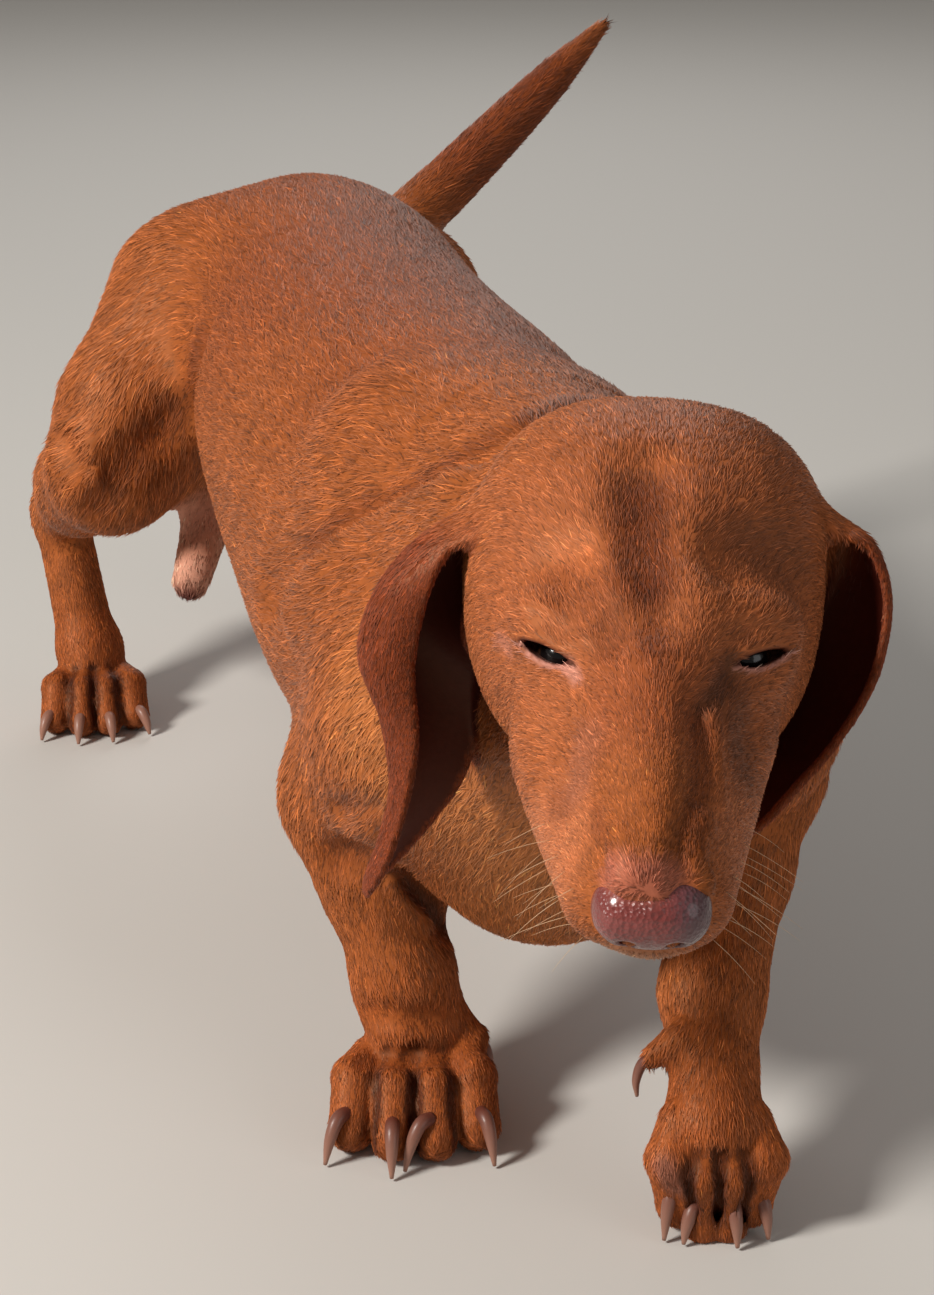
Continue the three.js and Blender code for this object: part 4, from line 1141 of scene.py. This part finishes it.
def tufts(seed):
    rng = np.random.default_rng(seed)
    a, b, c = skinFaces.T
    middles = (skinPlaces[a] + skinPlaces[b] + skinPlaces[c]) / 3
    share = lengthShare(middles)
    area = np.linalg.norm(facesOf(skinPlaces, skinFaces), axis=1) / 2
    slim = share**0.5
    wanted = area * coat["cover"] * bareSpots(middles) / (coat["length"] * share * coat["width"] * slim / 2)
    wanted *= 1.0
    total = np.cumsum(wanted)
    picked = np.searchsorted(total, rng.uniform(0, total[-1], int(total[-1])))
    u, v = rng.uniform(size=(2, len(picked)))
    over = u + v > 1
    u[over], v[over] = 1 - u[over], 1 - v[over]
    corners = [(a[picked], (1 - u - v)[:, None]), (b[picked], u[:, None]), (c[picked], v[:, None])]

    def at(values):
        return sum(values[corner] * part for corner, part in corners)

    place, way = at(skinPlaces), unit(at(skinWays))
    lie = at(skinLie)
    lie = unit(lie - (lie * way).sum(1)[:, None] * way)
    side = np.cross(way, lie)
    turn = np.radians(rng.normal(0, coat["wander"], len(picked)))[:, None]
    lie, side = lie * np.cos(turn) + side * np.sin(turn), side * np.cos(turn) - lie * np.sin(turn)
    long = (coat["length"] * share[picked] * rng.uniform(0.7, 1.3, len(picked)))[:, None]
    wide = (coat["width"] * slim[picked] * rng.uniform(0.75, 1.3, len(picked)))[:, None]
    lift = coat["lift"] * rng.uniform(0.5, 1.6, len(picked))[:, None]
    sunk = place - way * coat["sunk"]
    back = sunk + way * (coat["bow"] + wide * 0.45) + lie * long * 0.15
    tip = place + lie * long + way * long * lift
    points = np.stack([sunk - side * wide / 2, sunk + side * wide / 2, back, tip], 1)
    points[:, :, 2] = np.maximum(points[:, :, 2], aboveFloor)
    leans = [way - side * 0.8, way + side * 0.8, way - lie * 0.15, way + lie * 0.3]
    ways = np.stack([unit(lean) for lean in leans], 1)
    shade = np.exp(rng.normal(0, coat["shades"], len(picked)))[:, None]
    colour = coatColour(place) * shade
    foot, middle, end = (colour * times + plus for times, plus in coat["along"])
    return place, points, ways, np.minimum(np.stack([foot, foot, middle, end], 1), 1)


# Where no coat grows: the eyes' openings and the line of the mouth.
def bareSpots(places):
    bare = ramp(0.6, 2.2, mouth.far(places))
    for side in (right, left):
        centre, axes = eyeFrame(side)
        a, u, d = ((places - centre) @ axes.T).T
        bare *= np.where((d > 0) & (np.abs(a) < 11), ramp(1.2, 2.6, outsideAlmond(a, u)), 1)
        bare *= 1 - earZones(earMasses[side], places)[1]
    sheath = np.linalg.norm(places - mix(sheathRoot, sheathTip, 0.75), axis=1)
    bare *= mix(0.3, 1.0, ramp(20, 30, sheath))
    bare *= ramp(-1.0, 1.0, noseForm.value(places) - 0.5)
    return bare * ramp(0.0, 1.5, places[:, 2])


# The nose leather: two wings round the nostrils and a middle with a groove.
def makeNoseForm():
    form = Form()
    form.add(headPart(0, 122.5, -18, [11, 9, 9.5]), 1)  # pad
    for side in (right, left):
        form.add(headPart(side * 7.6, 121, -18.5, [6.8, 9, 8.2]), 4)  # wing
    for side in (right, left):
        form.press(headBone((side * 5, 123, -22), (side * 6.4, 132, -25), 2.2, 2.2), 1.5)  # nostril
        form.press(headBone((side * 6.4, 130, -25), (side * 11, 128, -25.3), 1.8, 1.4), 1.2)
        form.press(headBone((side * 11, 128, -25.3), (side * 15.5, 123, -23), 1.4, 0.9), 1.0)
    form.press(headBone((0, 132.6, -19), (0, 128, -29), 0.8, 0.8), 1.2)  # groove
    return form


noseForm = makeNoseForm()


def nosePaint():
    paint = Paint("noseLeather")
    place = paint.node("TexCoord").outputs["Object"]
    cells = paint.node("TexVoronoi", Scale=900.0)
    paint.link(place, cells.inputs["Vector"])
    streaked(paint, 160.0, 0.75, 1.2)
    bumped(paint, cells.outputs["Distance"], 0.75, 0.0006)
    paint.set(Roughness=0.34, Specular_IOR_Level=0.35, Coat_Weight=0.65, Coat_Roughness=0.14)
    return paint.material


# The leather is brown-pink, with painted shade that makes it greyer on the dog's left, and darker below.
def noseColour(places):
    inHead = head.inside(places)
    colour = np.tile(light("nose"), (len(places), 1))
    # Painted shade: greyer towards the dog's left.
    colour = tinted(colour, "noseShadedSide", 0.9 * ramp(2, 10, inHead[:, 0]))
    colour = tinted(colour, "pink", 0.4 * ramp(-13, -10, inHead[:, 2]) * ramp(6, -2, inHead[:, 0]))
    return tinted(colour, "lip", 0.5 * ramp(-20, -27, inHead[:, 2]))


def fineAllOver(points):
    return np.zeros(len(points), int)


noseCell = 0.8
noseLow, noseHigh = head.place + vec(-90, -160, -70), head.place + vec(30, -80, 20)
nosePlaces, noseFaces = wrapped(noseForm.value, noseLow, noseHigh, noseCell, fineAllOver)
nose = meshObject("nose", nosePlaces, noseFaces, nosePaint(), "nose leather", colour=noseColour(nosePlaces))
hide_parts("nose")
print("nose leather", len(noseFaces), "triangles")


# The four corners of each face between the rings of a round piece.
def ringFaces(rings, sides):
    i, k = np.meshgrid(np.arange(rings), np.arange(sides), indexing="ij")
    here, beside = i * sides + k, i * sides + (k + 1) % sides
    return np.stack([here, here + sides, beside + sides, beside], -1).reshape(-1, 4)


# A number at each point of a piece, which its paint turns into a colour by the stops given.
def numbered(made, name, values):
    layer = made.data.attributes.new(name, "FLOAT", "POINT")
    layer.data.foreach_set("value", np.array(values, np.float32))


def ramped(paint, name, stops):
    number = paint.node("Attribute", attribute_name=name).outputs["Fac"]
    shades = paint.node("ValToRGB")
    elements = shades.color_ramp.elements
    elements[0].position, elements[-1].position = stops[0][0], stops[-1][0]
    elements[0].color, elements[-1].color = (*stops[0][1], 1), (*stops[-1][1], 1)
    for position, shade in stops[1:-1]:
        elements.new(position).color = (*shade, 1)
    paint.link(number, shades.inputs["Fac"])
    paint.link(shades.outputs["Color"], paint.shader.inputs["Base Color"])


# Eyes: glossy balls with a dark iris and a pupil. The stops run outward from the middle of the pupil.
eyeball = {
    "rings": 40,
    "sides": 48,
    "smaller": 0.5,  # than the hollow of the lids
    "bulge": 0.05,  # of the clear front, as a share of the radius
    "stops": [
        (0.0, (0.004, 0.003, 0.003)),
        (0.2, (0.004, 0.003, 0.003)),
        (0.24, (0.03, 0.011, 0.005)),
        (0.5, (0.016, 0.006, 0.003)),
        (0.62, (0.1, 0.06, 0.045)),
    ],
}


def eyePaint():
    paint = Paint("eye")
    ramped(paint, "look", eyeball["stops"])
    paint.set(Roughness=0.16, Specular_IOR_Level=0.35, Coat_Weight=0.22, Coat_Roughness=0.08)
    return paint.material


eyeMaterial = eyePaint()
for side, name in ((right, "right"), (left, "left")):
    centre, axes = eyeFrame(side)
    rings, sides = eyeball["rings"], eyeball["sides"]
    fromFront, about = np.arange(rings + 1) / rings, np.arange(sides) / sides
    polar, turn = np.meshgrid(np.pi * fromFront, 2 * np.pi * about, indexing="ij")
    bulge = 1 + eyeball["bulge"] * np.exp(-((polar / 0.5) ** 2))
    ball = np.stack([np.sin(polar) * np.cos(turn), np.sin(polar) * np.sin(turn), np.cos(polar)], -1)
    ball = ball * bulge[..., None] * (eyeSpot["radius"] - eyeball["smaller"])
    places, faces = centre + ball.reshape(-1, 3) @ axes, ringFaces(rings, sides)
    eye = meshObject("eye_ball_" + name, places, faces, eyeMaterial, "eye")
    numbered(eye, "look", polar.ravel() / math.pi * 1.4)
    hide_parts("eye_" + name)
print("two eyes of", len(faces), "faces")


# A round tapering rod through stations of x, y, z, radius.
def rod(stations, sides, rings):
    rows = curveAt(stations, np.linspace(0, 1, rings + 1))
    ahead = unit(np.gradient(rows[:, :3], axis=0))
    upward = vec(0, 0, 1) if abs(ahead[:, 2]).mean() < 0.8 else vec(0, 1, 0)
    side = unit(np.cross(ahead, upward))
    up = np.cross(side, ahead)
    a = 2 * np.pi * np.arange(sides) / sides
    ring = np.cos(a)[None, :, None] * side[:, None] + np.sin(a)[None, :, None] * up[:, None]
    places = (rows[:, None, :3] + ring * rows[:, 3][:, None, None]).reshape(-1, 3)
    quads = ringFaces(rings, sides)
    fan = np.arange(1, sides - 1)
    start = np.stack([0 * fan, fan, fan + 1], 1)
    end = rings * sides + np.stack([0 * fan, fan + 1, fan], 1)
    return places, np.vstack([quads[:, [0, 2, 3]], quads[:, [0, 1, 2]], start, end])


def hornPaint():
    paint = Paint("claw")
    place = paint.node("TexCoord").outputs["Object"]
    noise = paint.node("TexNoise", Scale=500.0, Detail=2.0)
    paint.link(place, noise.inputs["Vector"])
    ramped(paint, "share", [(0.15, light("claw")), (1.0, light("clawTip"))])
    bumped(paint, noise.outputs["Fac"], 0.25, 0.0003)
    paint.set(Roughness=0.4, Specular_IOR_Level=0.35, Coat_Weight=0.08, Coat_Roughness=0.2)
    return paint.material


# Claws of horn, paler towards the tip. A station of a claw has its thickness as a share of the whole.
claws = {
    "thick": 2.5,
    "taper": (1.04, 1.0, 0.8, 0.26),
    "tip": 1.2,  # height of the last station over the floor
    "hindPale": 0.6,  # how pale the hind claws already are at the root
    "sides": 14,
    "rings": 16,
    "dewclaw": [(1, 0, 2.0), (5.5, 1, 1.9), (7.5, 6, 1.4), (7, 12, 0.6)],  # along, down, radius
}
clawMaterial = hornPaint()


def clawStations(leg, n):
    root, knuckle, tip = toeJoints(leg["paw"], toeShares[n])
    sunk, bend, low, end = leg["claws"]
    way = unit((knuckle - root) * vec(1, 1, 0))
    t = math.radians(leg["turns"][n])
    way = vec(way[0] * math.cos(t) - way[1] * math.sin(t), way[1] * math.cos(t) + way[0] * math.sin(t), 0)
    high = max(tip[2] + 2.5, leg["tops"][n])
    rows = [(sunk, high), (bend, high), (low, high * 0.62), (end, claws["tip"])]
    spots = [vec(tip[0], tip[1], z) + way * along for along, z in rows]
    return [(*spot, claws["thick"] * share) for spot, share in zip(spots, claws["taper"])]


def makeClaw(name, node, stations, pale=0.0):
    places, faces = rod(stations, claws["sides"], claws["rings"])
    claw = meshObject(name, places, faces, clawMaterial, "claw")
    numbered(claw, "share", np.repeat(np.linspace(pale, 1, claws["rings"] + 1), claws["sides"]))
    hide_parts(node)


for name, leg in legs.items():
    label = name.replace("leg", "")
    for n in range(len(toeShares)):
        node = f"claw_{label}_{n + 1}"
        makeClaw("horn_" + node, node, clawStations(leg, n), claws["hindPale"] if "hip" in leg else 0.0)
    if "dewclaw" in leg:
        start, end = (leg["paw"]["frame"].at(*spot) for spot in leg["dewclaw"][:2])
        way = unit(end - start)
        rows = [(end + way * along + downward * drop, radius) for along, drop, radius in claws["dewclaw"]]
        stations = [(*spot, radius) for spot, radius in rows]
        node = "dewclaw_" + label.replace("fore_", "")
        makeClaw("horn_" + node, node, stations)
print("claws", len(legs) * len(toeShares), "and two dewclaws")


# Whiskers: rows along the upper lip and a few on the chin.
whisker = {
    "rows": 3,
    "inRow": 5,
    "onChin": 4,
    "lipLength": 15,
    "chinLength": 8,
    "spread": 0.2,  # how far each strays from its way
    "thick": ((0, 0.085), (0.35, 0.075), (0.7, 0.055), (1, 0.025)),  # share of the length, radius
    "sides": 4,
    "rings": 8,
}


# For each whisker: a place inside the head, the way out to its root, the way it grows, and its length.
def whiskerRoots():
    roots = []
    for side in (right, left):
        for row in range(whisker["rows"]):
            for n in range(whisker["inRow"]):
                inner, out = vec(0, 84 + 7 * n, -18 - 5 * row), vec(side, 0.15, -0.15 * row)
                roots.append((inner, out, vec(side, 0.25, -0.35), whisker["lipLength"]))
        for n in range(whisker["onChin"]):
            inner, out = vec(0, 72 + 8 * n, -40), vec(side * 0.5, 0, -1)
            roots.append((inner, out, vec(side * 0.7, 0.3, -1), whisker["chinLength"]))
    return roots


def makeWhiskers(seed):
    rng = np.random.default_rng(seed)
    places, faces = [], []
    for inner, out, grows, long in whiskerRoots():
        root = onSkin(head.at(*inner), -unit(out @ head.axes), 60)
        grows = unit(grows @ head.axes + rng.normal(0, whisker["spread"], 3))
        long = long * rng.uniform(0.6, 1.2)
        droop = downward * long * rng.uniform(0.05, 0.25)
        stations = [(*(root + grows * (long * t - 0.5) + droop * t * t), r) for t, r in whisker["thick"]]
        hair, hairFaces = rod(stations, whisker["sides"], whisker["rings"])
        faces.append(hairFaces + len(hair) * len(places))
        places.append(hair)
    return np.vstack(places), np.vstack(faces)


def whiskerPaint():
    paint = Paint("whisker")
    paint.set(Base_Color=(*light("whisker"), 1), Roughness=0.4)
    return paint.material


meshObject("whiskers", *makeWhiskers(7), whiskerPaint(), "coat")
print("whiskers", len(whiskerRoots()))


# The coat, in pieces by region. A tuft goes to the first region that holds its root.
regions = [
    ("coat_head", lambda p: head.inside(p)[:, 1] > -30),
    ("coat_paws", lambda p: p[:, 2] < 60),
    ("coat_forelegs", lambda p: (p[:, 1] < 0) & (p[:, 2] < 125)),
    ("coat_hindlegs", lambda p: (p[:, 1] > 130) & (p[:, 2] < 160)),
    ("coat_neck", lambda p: p[:, 1] < -150),
    ("coat_shoulders", lambda p: p[:, 1] < -20),
    ("coat_loins", lambda p: p[:, 1] < 120),
    ("coat_rump", lambda p: p[:, 1] >= 120),
]


# A piece's map sets a tuft at its root: the turn round the longest axis against the way along it.
def unwrap(places):
    middle = places.mean(0)
    spans = places.max(0) - places.min(0)
    axis = int(spans.argmax())
    one, two = [i for i in range(3) if i != axis]
    turn = np.arctan2(places[:, one] - middle[one], places[:, two] - middle[two]) / (2 * math.pi) + 0.5
    along = (places[:, axis] - places[:, axis].min()) / spans[axis]
    return np.stack([turn, along], 1)


# One piece of the coat: four points and four faces to a tuft, which has a small patch of the map.
tuftFaces = np.array([[0, 3, 2], [2, 3, 1], [1, 3, 0], [0, 2, 1]])
tuftPatch = np.array([(-1, -1), (1, -1), (0, 0), (0, 1)]) * 0.0015


def coatPiece(name, own):
    faces = (np.arange(len(own))[:, None, None] * 4 + tuftFaces).reshape(-1, 3)
    places, facing, colour = (values[own].reshape(-1, 3) for values in (tuftPlaces, tuftWays, tuftColours))
    piece = meshObject(name, places, faces, coatMaterial, "coat", facing, colour)
    spots = (unwrap(roots[own])[:, None] + tuftPatch).reshape(-1, 2)
    uv = piece.data.uv_layers.new(name="OFBake")
    uv.data.foreach_set("uv", spots[faces.ravel()].astype(np.float32).ravel())


started = time.time()
coatMaterial = coatPaint()
roots, tuftPlaces, tuftWays, tuftColours = tufts(11)
free = np.ones(len(roots), bool)
for name, inside in regions:
    own = np.flatnonzero(free & inside(roots))
    free[own] = False
    parts = max(1, math.ceil(len(own) / coat["most"]))
    for part in range(parts):
        coatPiece(name if parts == 1 else f"{name}_{part + 1}", own[part::parts])
print("coat", len(roots), "tufts", round(time.time() - started, 1), "s")


# The camera at the photo's place, plain soft lights and a pale floor.
def addCamera():
    data = bpy.data.cameras.new("camera")
    data.sensor_width = camera["sensor"]
    data.lens = camera["focal"] / photoHigh * data.sensor_width
    made = bpy.data.objects.new("camera", data)
    bpy.context.scene.collection.objects.link(made)
    made.location = Vector(toFrame(camera["place"]))
    ahead = cameraAxes()[0]
    made.rotation_mode = "QUATERNION"
    made.rotation_quaternion = Vector(ahead).to_track_quat("-Z", "Y")
    bpy.context.scene.camera = made


# Soft round lamps, in metres and watts, a pale floor and pale air.
white, warm = (1, 1, 1), (1, 0.96, 0.9)
lamps = {
    "key": {"place": (-2.0, -0.45, 1.65), "aim": (0, 0, 0.15), "size": 0.6, "power": 68, "colour": warm},
    "fill": {"place": (1.4, -2.0, 0.9), "aim": (0, 0, 0.15), "size": 1.6, "power": 8, "colour": white},
    "rim": {"place": (0.6, 2.0, 1.6), "aim": (0, 0.1, 0.15), "size": 1.2, "power": 10, "colour": white},
}
studio = {"floorSize": 12, "floor": (0.62, 0.6, 0.57, 1), "air": (0.86, 0.82, 0.77, 1), "airStrength": 0.24}


def addLamp(name, lamp):
    data = bpy.data.lights.new(name, "AREA")
    data.shape, data.size, data.energy, data.color = "DISK", lamp["size"], lamp["power"], lamp["colour"]
    made = bpy.data.objects.new(name, data)
    bpy.context.scene.collection.objects.link(made)
    made.location = lamp["place"]
    made.rotation_mode = "QUATERNION"
    made.rotation_quaternion = (Vector(lamp["aim"]) - Vector(lamp["place"])).to_track_quat("-Z", "Y")


def addFloor():
    bpy.ops.mesh.primitive_plane_add(size=studio["floorSize"])
    floor = bpy.context.object
    floor.name = "floor"
    paint = Paint("floor")
    paint.set(Base_Color=studio["floor"], Roughness=0.8)
    floor.data.materials.append(paint.material)


def addAir():
    world = bpy.data.worlds.new("studio")
    world.use_nodes = True
    background = world.node_tree.nodes["Background"]
    background.inputs["Color"].default_value = studio["air"]
    background.inputs["Strength"].default_value = studio["airStrength"]
    bpy.context.scene.world = world


addCamera()
for name, lamp in lamps.items():
    addLamp(name, lamp)
addFloor()
addAir()
bpy.context.scene.view_settings.view_transform = "Standard"
print("camera,", len(lamps), "lamps and floor")
